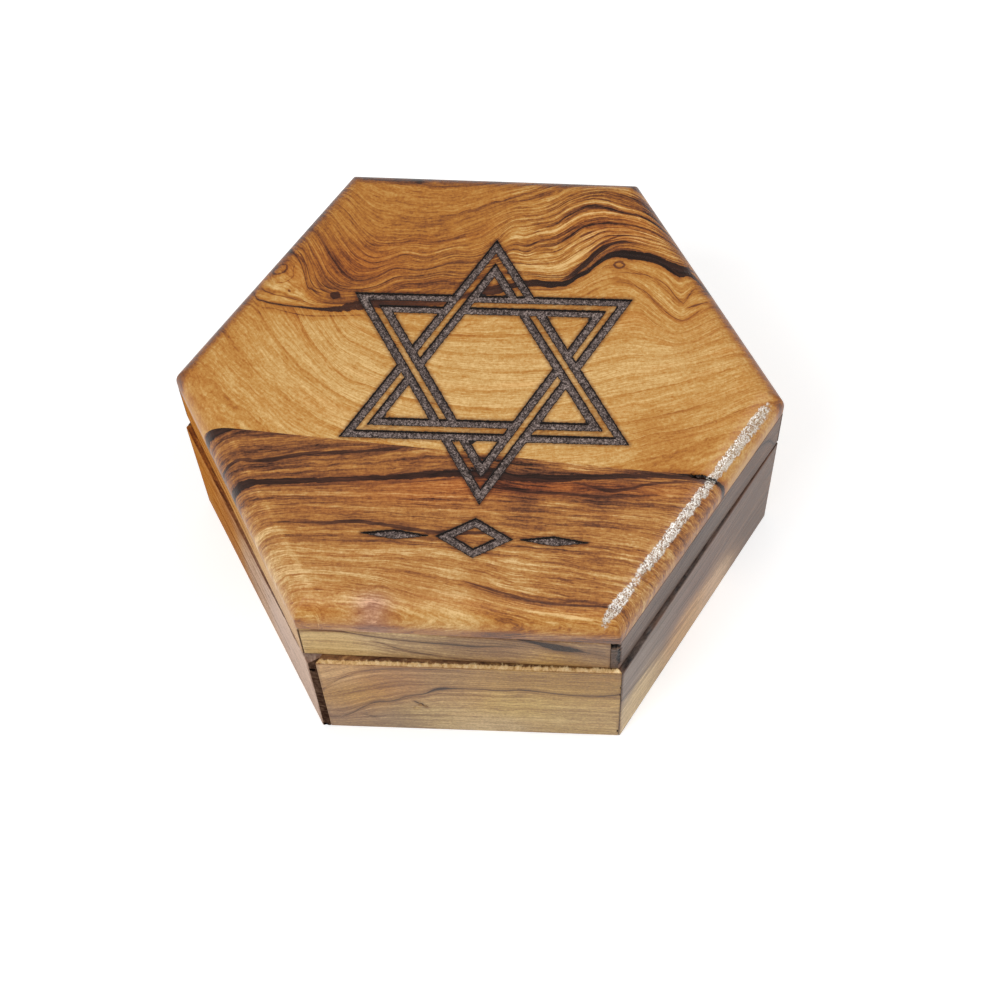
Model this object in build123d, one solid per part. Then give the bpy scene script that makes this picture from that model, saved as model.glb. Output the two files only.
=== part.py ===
"""Hexagonal wooden box with a hinged, engraved lid.

Millimetres and degrees. The origin is the middle of the underside, +Z is up and the front
wall faces -Y. The corners of the outline stand 60 degrees apart, the first one on +X.
"""
import os
from math import cos, radians, sin, sqrt, tan

from build123d import *

# Outline, heights and board thicknesses
side = 51.0
base_height = 25.2
seam_gap = 0.3
lid_wall_height = 8.9
lid_board_thickness = 6.3
top_edge_radius = 4.5
wall_thickness = 7.5
floor_thickness = 4.0

# The lid was hung a little off true: further back, and turned clockwise seen from above
lid_setback = 1.1
lid_turn = 1.0

# How far each mitre misses its corner, counted from the corner on +X.
# A positive miss lies counterclockwise of the corner, seen from above.
base_mitre_misses = (0.3, -0.3, 0.3, -0.4, 1.3, -0.2)
lid_mitre_misses = (-0.3, 0.3, -0.3, 0.3, 0.25, -1.4)

# Glue line between the two boards of the lid's top
board_joint_y = -14.2
board_joint_angle = -4.0

# Engraved star of two interlaced triangles, each a strip between two grooves
engraving_depth = 0.5
groove_width = 1.3
strip_width = 1.2
star_tip_distance = 27.1
star_x = 1.8
star_y = 2.6
star_turn = 0.8
# The triangle that points to the front lies this much further back than the other one
triangle_offset = 1.7

# Engraved ornament below the star: an outlined lozenge between two spindles
ornament_y = -29.8
lozenge_length = 12.0
lozenge_height = 7.0
spindle_length = 10.5
spindle_height = 1.6
spindle_gap = 1.4

# Hinges
hinge_corner_distance = 12.0
hinge_length = 12.0
pin_inset = 1.2
pin_radius = 0.6
pin_head_radius = 0.95
pin_head_length = 0.5
knuckle_radius = 1.25
lid_knuckle_length = 4.4
leaf_width = 4.8
leaf_thickness = 0.8
running_clearance = 0.05
knuckle_clearance = 0.15
mortise_clearance = 0.25
lid_stop_angle = 100.0
stop_clearance_angle = 0.5

# Hinge screws
screw_spacing = 7.6
screw_line = 3.1
screw_length = 6.0
screw_point_length = 1.2
screw_shank_radius = 0.75
screw_head_radius = 1.35
screw_head_height = 0.6
screw_head_clearance = 0.05
screw_slot_width = 0.35
screw_slot_depth = 0.3

# Sizes that follow from the ones above
face_distance = side * cos(radians(30))
inner_distance = face_distance - wall_thickness
lid_low_z = base_height + seam_gap
lid_board_z = lid_low_z + lid_wall_height
top_z = lid_board_z + lid_board_thickness
pin_y = face_distance - pin_inset
pin_z = base_height + seam_gap / 2
hinge_x = side / 2 - hinge_corner_distance
far = 2 * side
closed_place = Pos(0, lid_setback, 0) * Rot(0, 0, -lid_turn)

WALL_NAMES = ("back_right", "back", "back_left", "front_left", "front", "front_right")


def polar(distance, degrees):
    """A point of the plan, by its distance and direction from the middle."""
    angle = radians(degrees)
    return (distance * cos(angle), distance * sin(angle))


def polygon(points):
    """A flat shape through points, kept where the points are."""
    return Polygon(*points, align=None)


def hexagon(distance):
    """The box's outline with its faces at a distance from the middle."""
    return RegularPolygon(radius=distance, side_count=6, major_radius=False)


def raise_shape(shape, low, high):
    """A flat shape of the plan, made solid between two heights."""
    return extrude(Pos(0, 0, low) * shape, amount=high - low, dir=(0, 0, 1))


def across(shape, length):
    """A shape drawn as (y, z) about the hinge line, made into a bar along X."""
    return Pos(0, pin_y, pin_z) * extrude(Plane.YZ * shape, amount=length / 2, both=True)


# Boards


def sector(first_corner, misses):
    """The part of the plan between two neighbouring mitres."""
    near = inner_distance / 2
    points = []
    for corner, distances in ((first_corner, (near, far)), (first_corner + 1, (far, near))):
        direction = 60 * corner
        shift_x, shift_y = polar(misses[corner % 6] * sin(radians(60)), direction + 90)
        for distance in distances:
            x, y = polar(distance, direction)
            points.append((x + shift_x, y + shift_y))
    return polygon(points)


def wall_boards(owner, misses, low, high):
    """Six mitred wall boards between two heights."""
    ring = raise_shape(hexagon(face_distance) - hexagon(inner_distance), low, high)
    boards = {}
    for corner, name in enumerate(WALL_NAMES):
        boards[f"{owner}_wall_{name}"] = ring & raise_shape(sector(corner, misses), low, high)
    return boards


def lid_top_boards():
    """The lid's top as two glued boards, rounded over at its edge and engraved."""
    top = raise_shape(hexagon(face_distance), lid_board_z, top_z)
    top = fillet(top.edges().group_by(Axis.Z)[-1], top_edge_radius)
    top -= raise_shape(star() + ornament(), top_z - engraving_depth, top_z)
    joint = Pos(0, board_joint_y) * Rot(0, 0, board_joint_angle)
    front_half = joint * Rectangle(2 * far, far, align=(Align.CENTER, Align.MAX))
    front_half = raise_shape(front_half, lid_board_z, top_z)
    return {"lid_board_back": top - front_half, "lid_board_front": top & front_half}


# Engraving


def triangle(side_distance, direction):
    """A triangle about the origin with one tip in a direction."""
    return polygon([polar(2 * side_distance, direction + turn) for turn in (0, 120, 240)])


def triangle_band(direction):
    """The two grooves of one triangle of the star, and the strip between them."""
    distance = star_tip_distance / 2
    outlines = [triangle(distance, direction)]
    for width in (groove_width, strip_width, groove_width):
        distance -= width
        outlines.append(triangle(distance, direction))
    strip = outlines[1] - outlines[2]
    return outlines[0] - outlines[3] - strip, strip


def star():
    """Two triangles that pass over and under each other by turns."""
    strip_distance = star_tip_distance / 2 - groove_width - strip_width / 2
    crossing_distance = strip_distance / cos(radians(30))
    up_grooves, up_strip = [Pos(0, -triangle_offset / 2) * shape for shape in triangle_band(90)]
    down_grooves, down_strip = [Pos(0, triangle_offset / 2) * shape for shape in triangle_band(270)]
    for number in range(6):
        crossing = Pos(*polar(crossing_distance, 60 * number)) * Circle(crossing_distance / 2)
        if number % 2 == 0:
            down_grooves -= up_strip & crossing
        else:
            up_grooves -= down_strip & crossing
    return Pos(star_x, star_y) * Rot(0, 0, star_turn) * (up_grooves + down_grooves)


def rhombus(length, height):
    """A rhombus about the origin."""
    return polygon([(length / 2, 0), (0, height / 2), (-length / 2, 0), (0, -height / 2)])


def ornament():
    """An outlined lozenge between two thin spindles."""
    inner_share = 1 - 2 * groove_width * sqrt(1 / lozenge_length**2 + 1 / lozenge_height**2)
    shape = rhombus(lozenge_length, lozenge_height)
    shape -= rhombus(lozenge_length * inner_share, lozenge_height * inner_share)
    spindle_x = (lozenge_length + spindle_length) / 2 + spindle_gap
    for x in (-spindle_x, spindle_x):
        shape += Pos(x, 0) * rhombus(spindle_length, spindle_height)
    return Pos(star_x, ornament_y) * shape


# Hinges


def hinge_bar(radius, length):
    """A round bar on the hinge line, centred on x = 0."""
    return across(Circle(radius), length)


def leaf_plate(low):
    """A plain leaf that reaches inwards from the hinge line."""
    plate = Box(hinge_length, leaf_width, leaf_thickness, align=(Align.CENTER, Align.MAX, Align.MIN))
    return Pos(0, pin_y, low) * plate


def base_leaf():
    """The leaf let into the base, with the two outer knuckles."""
    leaf = leaf_plate(base_height - leaf_thickness) + hinge_bar(knuckle_radius, hinge_length)
    leaf -= hinge_bar(knuckle_radius + knuckle_clearance, lid_knuckle_length + 2 * knuckle_clearance)
    return leaf - hinge_bar(pin_radius, hinge_length)


def lid_leaf():
    """The leaf let into the lid, with the middle knuckle."""
    leaf = leaf_plate(lid_low_z) - hinge_bar(knuckle_radius + knuckle_clearance, hinge_length)
    tongue = leaf_plate(lid_low_z) & hinge_bar(leaf_width, lid_knuckle_length)
    leaf += tongue + hinge_bar(knuckle_radius, lid_knuckle_length)
    return leaf - hinge_bar(pin_radius + running_clearance, hinge_length)


def hinge_pin():
    """The pin with a low round head at each end."""
    head = hinge_bar(pin_head_radius, hinge_length + 2 * pin_head_length)
    head -= hinge_bar(pin_head_radius, hinge_length)
    return hinge_bar(pin_radius, hinge_length + 2 * pin_head_length) + head


def screw_body(clearance):
    """A countersunk wood screw that points down, its head level with z = 0."""
    shank = screw_shank_radius + clearance
    outline = [
        (0, 0),
        (screw_head_radius + clearance, 0),
        (shank, -screw_head_height),
        (shank, screw_point_length - screw_length),
        (0, -screw_length),
    ]
    return revolve(Plane.XZ * polygon(outline), Axis.Z)


def screw():
    """The screw with its driver slot."""
    slot = Box(2 * screw_head_radius, screw_slot_width, 2 * screw_slot_depth)
    return screw_body(0) - slot


def screw_places(owner):
    """Where the two screws of a leaf stand, on the leaf's open face."""
    height, turn = {"base": (base_height, 0), "lid": (lid_low_z, 180)}[owner]
    y = pin_y - screw_line
    return [Pos(x, y, height) * Rot(turn, 0, 0) for x in (-screw_spacing / 2, screw_spacing / 2)]


def drilled(leaf, owner):
    """A leaf with its countersunk holes."""
    for place in screw_places(owner):
        leaf -= place * screw_body(screw_head_clearance)
    return leaf


def recess(owner):
    """What is cut from the wood for one leaf, its barrel and its screws."""
    low = {"base": base_height - leaf_thickness, "lid": lid_low_z}[owner]
    barrel_room = hinge_length + 2 * (pin_head_length + mortise_clearance)
    room = leaf_plate(low) + hinge_bar(knuckle_radius + mortise_clearance, barrel_room)
    for place in screw_places(owner):
        room += place * screw_body(0)
    return room


def stop_bevel(owner):
    """What is planed off a back arris, so that lid and base meet when the lid is fully open."""
    up = {"base": -1, "lid": 1}[owner]
    slope = tan(radians(lid_stop_angle / 2 + stop_clearance_angle))
    return across(polygon([(0, 0), (far, up * far * slope), (far, -up * far), (0, -up * far)]), far)


def hinge(name, x):
    """The five pieces of one hinge, with its middle at x."""
    place = Pos(x, 0, 0)
    pieces = {
        f"hinge_{name}_base_leaf": place * drilled(base_leaf(), "base"),
        f"hinge_{name}_lid_leaf": place * drilled(lid_leaf(), "lid"),
        f"hinge_{name}_pin": place * hinge_pin(),
    }
    for owner in ("base", "lid"):
        screws = [place * spot * screw() for spot in screw_places(owner)]
        pieces[f"hinge_{name}_{owner}_screws"] = Compound(children=screws)
    return pieces


def fitted(board, owner):
    """A back board with its bevel and the room for both hinges."""
    board -= stop_bevel(owner)
    for x in (-hinge_x, hinge_x):
        board -= Pos(x, 0, 0) * recess(owner)
    return board


def build():
    """Every piece of the closed box, by name."""
    pieces = {"base_floor": raise_shape(hexagon(inner_distance), 0, floor_thickness)}
    pieces.update(wall_boards("base", base_mitre_misses, 0, base_height))
    lid = wall_boards("lid", lid_mitre_misses, lid_low_z, lid_board_z)
    lid.update(lid_top_boards())
    for name, board in lid.items():
        pieces[name] = closed_place * board
    for owner in ("base", "lid"):
        for side_name in ("back_right", "back", "back_left"):
            name = f"{owner}_wall_{side_name}"
            pieces[name] = fitted(pieces[name], owner)
    pieces.update(hinge("left", -hinge_x))
    pieces.update(hinge("right", hinge_x))
    return pieces


os.makedirs("parts", exist_ok=True)
for node, piece in build().items():
    export_step(piece, f"parts/{node}.step")
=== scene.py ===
"""Looks of a hexagonal olive-wood box with a hinged, engraved lid.

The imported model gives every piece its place. The boards are copied from it into finer meshes, which get
worn arrises, cracks, chips and the coordinates of their growth layers, and the materials draw the
wood's figure along those layers. Sizes are in millimetres where a name or comment doesn't say
otherwise, and turn into metres where they meet Blender.
"""
from math import cos, radians, sin, tan

import bmesh
import bpy
import numpy as np
from mathutils import Matrix, Vector, noise


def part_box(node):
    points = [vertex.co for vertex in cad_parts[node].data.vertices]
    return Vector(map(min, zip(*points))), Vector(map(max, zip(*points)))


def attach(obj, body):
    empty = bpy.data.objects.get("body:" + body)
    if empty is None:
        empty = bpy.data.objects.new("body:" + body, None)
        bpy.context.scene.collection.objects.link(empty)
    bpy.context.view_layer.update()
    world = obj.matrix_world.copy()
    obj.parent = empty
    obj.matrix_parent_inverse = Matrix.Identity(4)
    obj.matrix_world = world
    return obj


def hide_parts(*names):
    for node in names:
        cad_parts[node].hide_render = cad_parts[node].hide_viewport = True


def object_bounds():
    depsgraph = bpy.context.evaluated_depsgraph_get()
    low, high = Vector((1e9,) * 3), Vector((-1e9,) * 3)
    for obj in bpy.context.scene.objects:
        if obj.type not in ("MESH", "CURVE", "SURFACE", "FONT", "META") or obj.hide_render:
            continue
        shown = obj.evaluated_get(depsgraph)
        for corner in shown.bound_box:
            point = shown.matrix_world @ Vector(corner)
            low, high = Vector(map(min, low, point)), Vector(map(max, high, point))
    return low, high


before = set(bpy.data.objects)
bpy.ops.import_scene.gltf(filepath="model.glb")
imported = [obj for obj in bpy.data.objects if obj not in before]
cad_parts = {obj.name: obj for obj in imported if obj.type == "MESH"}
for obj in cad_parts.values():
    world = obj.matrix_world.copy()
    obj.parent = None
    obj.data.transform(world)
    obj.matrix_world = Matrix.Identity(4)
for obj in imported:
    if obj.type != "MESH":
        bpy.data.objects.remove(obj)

MM = 0.001
cad_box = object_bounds()
top_z = cad_box[1].z / MM
face_distance = -cad_box[0].y / MM
side = 2 * face_distance / 3**0.5
base_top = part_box("base_wall_front")[1].z / MM

# Cells of the finer meshes along X, Y and Z, and the width of their eased arrises
LID_CELLS = (0.9, 0.8, 2.1)
LID_ARRIS = 0.18
WALL_CELLS = (1.4, 1.4, 1.2)
WALL_ARRIS = 0.22
FLOOR_CELLS = (2.0, 2.0, 2.0)
FLOOR_ARRIS = 0.1
# Points nearer than the first are one, faces that bend less than the second are flat, edges sharper than
# the third are eased, and shading is smooth over edges that bend less than the fourth
WELD_DISTANCE = 0.002
FLAT_ANGLE = 0.4
SHARP_ANGLE = 25
SMOOTH_ANGLE = 32

# Camera, from the photograph's corners
CAMERA_AZIMUTH = 5.64
CAMERA_ELEVATION = 59.96
CAMERA_ROLL = -3.23
CAMERA_DISTANCE = 330.93
CAMERA_TARGET = (3.84, -9.83, 20.0)
CAMERA_LENS = 69.43

# The whole lid was hung a little off true
LID_TURN = -1.0
LID_SETBACK = 1.1

# Glue line between the lid's two top boards: in the lid's own place, and as it was hung
JOINT_Y = -14.2
JOINT_ANGLE = -4.0
JOINT_WORLD_Y = -13.1
JOINT_SLOPE = -0.0875

# The engraving is this deep and stays this far inside the lid's faces
GROOVE_DEPTH = 0.5
ENGRAVING_MARGIN = 4

# Directions of the walls' outer faces, in degrees counterclockwise from +X
WALL_DIRECTIONS = {
    "back_right": 30,
    "back": 90,
    "back_left": 150,
    "front_left": 210,
    "front": 270,
    "front_right": 330,
}

# How much level a layer between two growth lines takes up, on the lid and on the walls.
# A growth ring takes up RING_GAP of level.
RING_GAP = 3.3
WALL_LAYER = 5.0

# The wood's tones from its blackest veins to its palest sapwood
WOOD_TONES = [
    (0.00, (30, 15, 8)),
    (0.14, (70, 38, 24)),
    (0.30, (113, 65, 36)),
    (0.45, (148, 89, 39)),
    (0.60, (177, 114, 46)),
    (0.75, (194, 140, 70)),
    (0.88, (209, 166, 102)),
    (1.00, (230, 190, 128)),
]
# And those of the paler walls, greyed wood and painted reflection, raw wood, end grain and burnt grooves
WALL_TONES = [
    (0.0, (32, 20, 12)), (0.2, (68, 44, 26)), (0.4, (108, 75, 38)), (0.6, (149, 109, 51)),
    (0.8, (190, 153, 82)), (1.0, (221, 190, 116)),
]
GREY_TONES = [(0.0, (34, 26, 24)), (0.4, (104, 88, 80)), (0.75, (150, 134, 124)), (1.0, (214, 197, 183))]
RAW_TONES = [(0.0, (112, 70, 30)), (0.35, (176, 132, 78)), (0.6, (222, 184, 128)), (1.0, (250, 224, 176))]
END_TONES = [(0.0, (22, 13, 9)), (0.4, (62, 42, 32)), (0.7, (104, 80, 64)), (1.0, (168, 144, 122))]
CHAR_TONES = [(0.0, (34, 25, 23)), (0.4, (84, 72, 68)), (0.65, (118, 102, 97)), (1.0, (176, 158, 150))]


def linear(red, green, blue):
    """A colour written as the eye reads it, 0 to 255, as the shader's linear values."""
    def one(value):
        share = value / 255
        return share / 12.92 if share <= 0.04045 else ((share + 0.055) / 1.055) ** 2.4

    return (one(red), one(green), one(blue), 1.0)


# Curves and fields


def smooth(points, x):
    """A smooth line through points, read at every x."""
    xs = np.array([p[0] for p in points], float)
    ys = np.array([p[1] for p in points], float)
    slopes = np.gradient(ys, xs)
    x = np.clip(x, xs[0], xs[-1])
    i = np.clip(np.searchsorted(xs, x, side="right") - 1, 0, len(xs) - 2)
    gap = xs[i + 1] - xs[i]
    t = (x - xs[i]) / gap
    from_left = ys[i] * (1 + 2 * t) * (1 - t) ** 2 + slopes[i] * gap * t * (1 - t) ** 2
    from_right = ys[i + 1] * t**2 * (3 - 2 * t) - slopes[i + 1] * gap * t**2 * (1 - t)
    return from_left + from_right


def layers(lines, x, y):
    """How many growth lines lie below each point, with the share of the gap to the next one."""
    heights = [smooth(line, x) for line in lines]
    level = np.zeros_like(x)
    for low, high in zip(heights, heights[1:]):
        level += np.clip((y - low) / np.maximum(high - low, 0.2), 0, 1)
    return level


def off_line(points, x, y, strengths=None):
    """For a vein given as (x, y, half width): the distance from its middle, its half width, its darkness."""
    away = np.clip(y - smooth([p[:2] for p in points], x), -4, 4)
    half = smooth([(p[0], p[2]) for p in points], x)
    past_end = np.maximum(np.maximum(points[0][0] - x, x - points[-1][0]), 0)
    half = np.maximum(half - 0.5 * past_end, -1)
    dark = smooth(strengths, x) if strengths else np.clip(0.5 + 0.8 * half, 0, 1)
    return np.stack([away, half, dark], axis=1)


def spread(spots, x, y, softness=4.0):
    """A value at every point, eased between given spots (x, y, value)."""
    total = np.zeros_like(x)
    weights = np.zeros_like(x)
    for spot_x, spot_y, value in spots:
        weight = ((x - spot_x) ** 2 + (y - spot_y) ** 2 + softness**2) ** -2.0
        total += weight * value
        weights += weight
    return total / weights


def ring_line(x, y, centre_x, centre_y, radius_x, radius_y, half, dark, turn):
    """A vein that closes on itself round a knot, in the same form as off_line gives."""
    angle = radians(turn)
    along = (x - centre_x) * cos(angle) + (y - centre_y) * sin(angle)
    across = (y - centre_y) * cos(angle) - (x - centre_x) * sin(angle)
    reach = np.hypot(along / radius_x, across / radius_y)
    away = (reach - 1) * min(radius_x, radius_y)
    return np.stack([np.clip(away, -4, 4), np.full_like(x, half), np.full_like(x, dark)], axis=1)


def blob(x, y, centre_x, centre_y, radius_x, radius_y):
    """1 in the middle of a soft oval patch, falling to 0 outside."""
    return np.exp(-(((x - centre_x) / radius_x) ** 2) - ((y - centre_y) / radius_y) ** 2)


def ripple(points, size, seed=0.0):
    """Smooth noise between -1 and 1, with features of a size."""
    shift = Vector((17.3 * seed, 5.1 * seed, 9.7 * seed))
    return np.array([noise.noise(Vector(p) / size + shift) for p in points])


# Meshes


def sliced(points, triangles, axis, planes):
    """Triangles cut along planes across one axis, so that no triangle reaches over a plane."""
    tiny = 2e-3
    for _ in range(16):
        heights = points[triangles, axis]
        first = np.searchsorted(planes, heights.min(1) + tiny, side="right")
        last = np.searchsorted(planes, heights.max(1) - tiny, side="left") - 1
        crossing = last >= first
        if not crossing.any():
            break
        cut = planes[(first + last)[crossing] // 2]
        corners = triangles[crossing]
        above = heights[crossing] > cut[:, None]
        lone_is_above = above.sum(1) == 1
        lone = np.argmax(above == lone_is_above[:, None], axis=1)
        order = (lone[:, None] + np.arange(3)) % 3
        a, b, c = np.take_along_axis(corners, order, axis=1).T
        made = []
        for other in (b, c):
            share = (cut - points[a, axis]) / (points[other, axis] - points[a, axis])
            made.append(points[a] + (points[other] - points[a]) * share[:, None])
            made[-1][:, axis] = cut
        count = len(points)
        p = np.arange(count, count + len(a))
        q = p + len(a)
        points = np.concatenate([points, *made])
        new = [np.stack(corner, axis=1) for corner in ((a, p, q), (p, b, c), (p, c, q))]
        triangles = np.concatenate([triangles[~crossing], *new])
    return welded(points, triangles)


def welded(points, triangles):
    """The same triangles with points that coincide made one, and empty triangles left out."""
    grid = np.round(points / 2e-4).astype(np.int64) + 10**6
    key = (grid[:, 0] * 2**21 + grid[:, 1]) * 2**21 + grid[:, 2]
    _, first, index = np.unique(key, return_index=True, return_inverse=True)
    triangles = index.reshape(-1)[triangles]
    a, b, c = triangles.T
    whole = (a != b) & (b != c) & (c != a)
    return points[first], triangles[whole]


def node_mesh(node):
    """A CAD node's mesh in millimetres, with its points welded."""
    bm = bmesh.new()
    bm.from_mesh(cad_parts[node].data)
    bmesh.ops.scale(bm, vec=(1 / MM,) * 3, verts=bm.verts)
    bmesh.ops.remove_doubles(bm, verts=bm.verts, dist=WELD_DISTANCE)
    return bm


def dressed_mesh(node, step, arris, keep_sharp=None, fine=()):
    """A CAD node's mesh in millimetres, its arrises eased, cut into cells about one step wide.

    Where fine names a place (x, y, z, reach), the cells are three times finer, save along an axis
    whose place is None.
    """
    bm = node_mesh(node)
    bmesh.ops.dissolve_limit(bm, angle_limit=radians(FLAT_ANGLE), verts=bm.verts, edges=bm.edges)
    bm.normal_update()
    sharp = [
        e for e in bm.edges
        if len(e.link_faces) == 2 and e.calc_face_angle_signed() > radians(SHARP_ANGLE)
    ]
    if keep_sharp:
        sharp = [e for e in sharp if not keep_sharp(e)]
    segments = [(tuple(e.verts[0].co), tuple(e.verts[1].co)) for e in sharp]
    bmesh.ops.bevel(bm, geom=sharp, offset=arris, segments=2, profile=0.5, affect="EDGES")
    bmesh.ops.triangulate(bm, faces=bm.faces)
    bm.verts.index_update()
    points = np.array([v.co[:] for v in bm.verts])
    triangles = np.array([[v.index for v in f.verts] for f in bm.faces])
    bm.free()
    for axis in range(3):
        low, high = points[:, axis].min(), points[:, axis].max()
        planes = [np.arange(low + 0.437 * step[axis], high, step[axis])]
        for *middle, reach in fine:
            if middle[axis] is None:
                continue
            planes.append(np.arange(middle[axis] - reach, middle[axis] + reach, step[axis] / 3) + 0.011)
        points, triangles = sliced(points, triangles, axis, np.unique(np.concatenate(planes)))
    return points, triangles, segments


def board_object(node, points, triangles, attributes, material):
    """An object made of millimetre points for the board that a CAD node holds the place of."""
    name = "grained_" + node
    low, high = (np.array(corner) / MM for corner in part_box(node))
    points = np.clip(points, low, high)
    mesh = bpy.data.meshes.new(name)
    mesh.from_pydata(points * MM, [], triangles)
    for key, values in attributes.items():
        values = np.asarray(values, np.float32)
        kind, field = ("FLOAT", "value") if values.ndim == 1 else ("FLOAT_VECTOR", "vector")
        mesh.attributes.new(key, kind, "POINT").data.foreach_set(field, values.reshape(-1))
    mesh.materials.append(material)
    mesh.shade_smooth()
    mesh.set_sharp_from_angle(angle=radians(SMOOTH_ANGLE))
    board = bpy.data.objects.new(name, mesh)
    bpy.context.scene.collection.objects.link(board)
    return board


def worn(points, triangles, spots):
    """Press shallow hollows into a mesh, and tell how dark each point is with them.

    A spot is (x, y, z, radius, depth, darkness).
    """
    normals = point_normals(points, triangles)
    uneven = 1 + 0.5 * ripple(points, 0.8)
    pit = np.zeros(len(points))
    moved = points.copy()
    for x, y, z, radius, depth, darkness in spots:
        reach = np.linalg.norm((points - (x, y, z)), axis=1) / (radius * uneven)
        share = np.clip(1 - reach**2, 0, 1)
        moved -= normals * (depth * share)[:, None]
        pit = np.maximum(pit, darkness * np.sqrt(share))
    return moved, pit


def point_normals(points, triangles):
    """Unit normals of the points of a mesh."""
    a, b, c = points[triangles].transpose(1, 0, 2)
    face = np.cross(b - a, c - a)
    normals = np.zeros_like(points)
    for corner in range(3):
        np.add.at(normals, triangles[:, corner], face)
    return normals / np.maximum(np.linalg.norm(normals, axis=1, keepdims=True), 1e-12)


def distance_to(segments, points):
    """How far each point is from the nearest of some straight segments."""
    nearest = np.full(len(points), 1e3)
    for start, end in segments:
        start, run = np.array(start), np.array(end) - np.array(start)
        share = np.clip((points - start) @ run / max(run @ run, 1e-9), 0, 1)
        nearest = np.minimum(nearest, np.linalg.norm(points - start - share[:, None] * run, axis=1))
    return nearest


# Shader nodes


class Net:
    """Short forms for building the nodes of one material."""

    def __init__(self, name):
        self.material = bpy.data.materials.new(name)
        self.material.use_nodes = True
        self.tree = self.material.node_tree
        self.shader = self.tree.nodes["Principled BSDF"]

    def node(self, kind, *values, **settings):
        """A node whose first inputs are linked to sockets or set to values."""
        node = self.tree.nodes.new("ShaderNode" + kind)
        for key, value in settings.items():
            setattr(node, key, value)
        for socket, value in zip(node.inputs, values):
            self.feed(socket, value)
        return node

    def feed(self, socket, value):
        """Link a socket to another, or set its own value."""
        if isinstance(value, bpy.types.NodeSocket):
            self.tree.links.new(value, socket)
        elif value is not None:
            socket.default_value = value

    def attribute(self, name):
        """A number that the mesh holds at its points."""
        return self.node("Attribute", attribute_name=name).outputs["Fac"]

    def attribute_parts(self, name):
        """The three numbers of a vector that the mesh holds at its points."""
        vector = self.node("Attribute", attribute_name=name).outputs["Vector"]
        return self.node("SeparateXYZ", vector).outputs

    def math(self, operation, *values):
        """A sum, product or like of numbers."""
        return self.node("Math", *values, operation=operation).outputs[0]

    def add(self, *values):
        """The sum of numbers."""
        total = values[0]
        for value in values[1:]:
            total = self.math("ADD", total, value)
        return total

    def times(self, *values):
        """The product of numbers."""
        total = values[0]
        for value in values[1:]:
            total = self.math("MULTIPLY", total, value)
        return total

    def fade(self, value, start, end, low=0.0, high=1.0):
        """low before start, high after end, eased between."""
        node = self.node("MapRange", value, start, end, low, high, interpolation_type="SMOOTHSTEP")
        return node.outputs[0]

    def vector(self, x, y, z):
        """A vector from three numbers."""
        return self.node("CombineXYZ", x, y, z).outputs[0]

    def noise(self, place, scale=1.0, detail=2.0, rough=0.5, twist=0.0):
        """Smooth noise about 0."""
        node = self.tree.nodes.new("ShaderNodeTexNoise")
        self.feed(node.inputs["Vector"], place)
        node.inputs["Scale"].default_value = scale
        node.inputs["Detail"].default_value = detail
        node.inputs["Roughness"].default_value = rough
        node.inputs["Distortion"].default_value = twist
        return self.math("SUBTRACT", node.outputs[0], 0.5)

    def ramp(self, value, stops):
        """Colours along a value. A stop is (place, colour from 0 to 255)."""
        node = self.node("ValToRGB", value)
        elements = node.color_ramp.elements
        while len(elements) < len(stops):
            elements.new(1.0)
        for element, (place, colour) in zip(elements, stops):
            element.position = place
            element.color = linear(*colour)
        return node.outputs[0]

    def mix(self, amount, first, second, blend="MIX"):
        """Two colours mixed, or one laid over the other."""
        node = self.tree.nodes.new("ShaderNodeMix")
        node.data_type = "RGBA"
        node.blend_type = blend
        self.feed(node.inputs["Factor"], amount)
        colours = [s for s in node.inputs if s.type == "RGBA"]
        self.feed(colours[0], first)
        self.feed(colours[1], second)
        return [s for s in node.outputs if s.type == "RGBA"][0]

    def mix_number(self, amount, first, second):
        """Two numbers mixed."""
        return self.add(first, self.times(amount, self.math("SUBTRACT", second, first)))

    def bump(self, height, strength, distance_mm, normal=None):
        """A normal bent by a height, on top of another one."""
        node = self.tree.nodes.new("ShaderNodeBump")
        node.inputs["Strength"].default_value = strength
        node.inputs["Distance"].default_value = distance_mm * MM
        self.feed(node.inputs["Height"], height)
        self.feed(node.inputs["Normal"], normal)
        return node.outputs[0]


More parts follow.
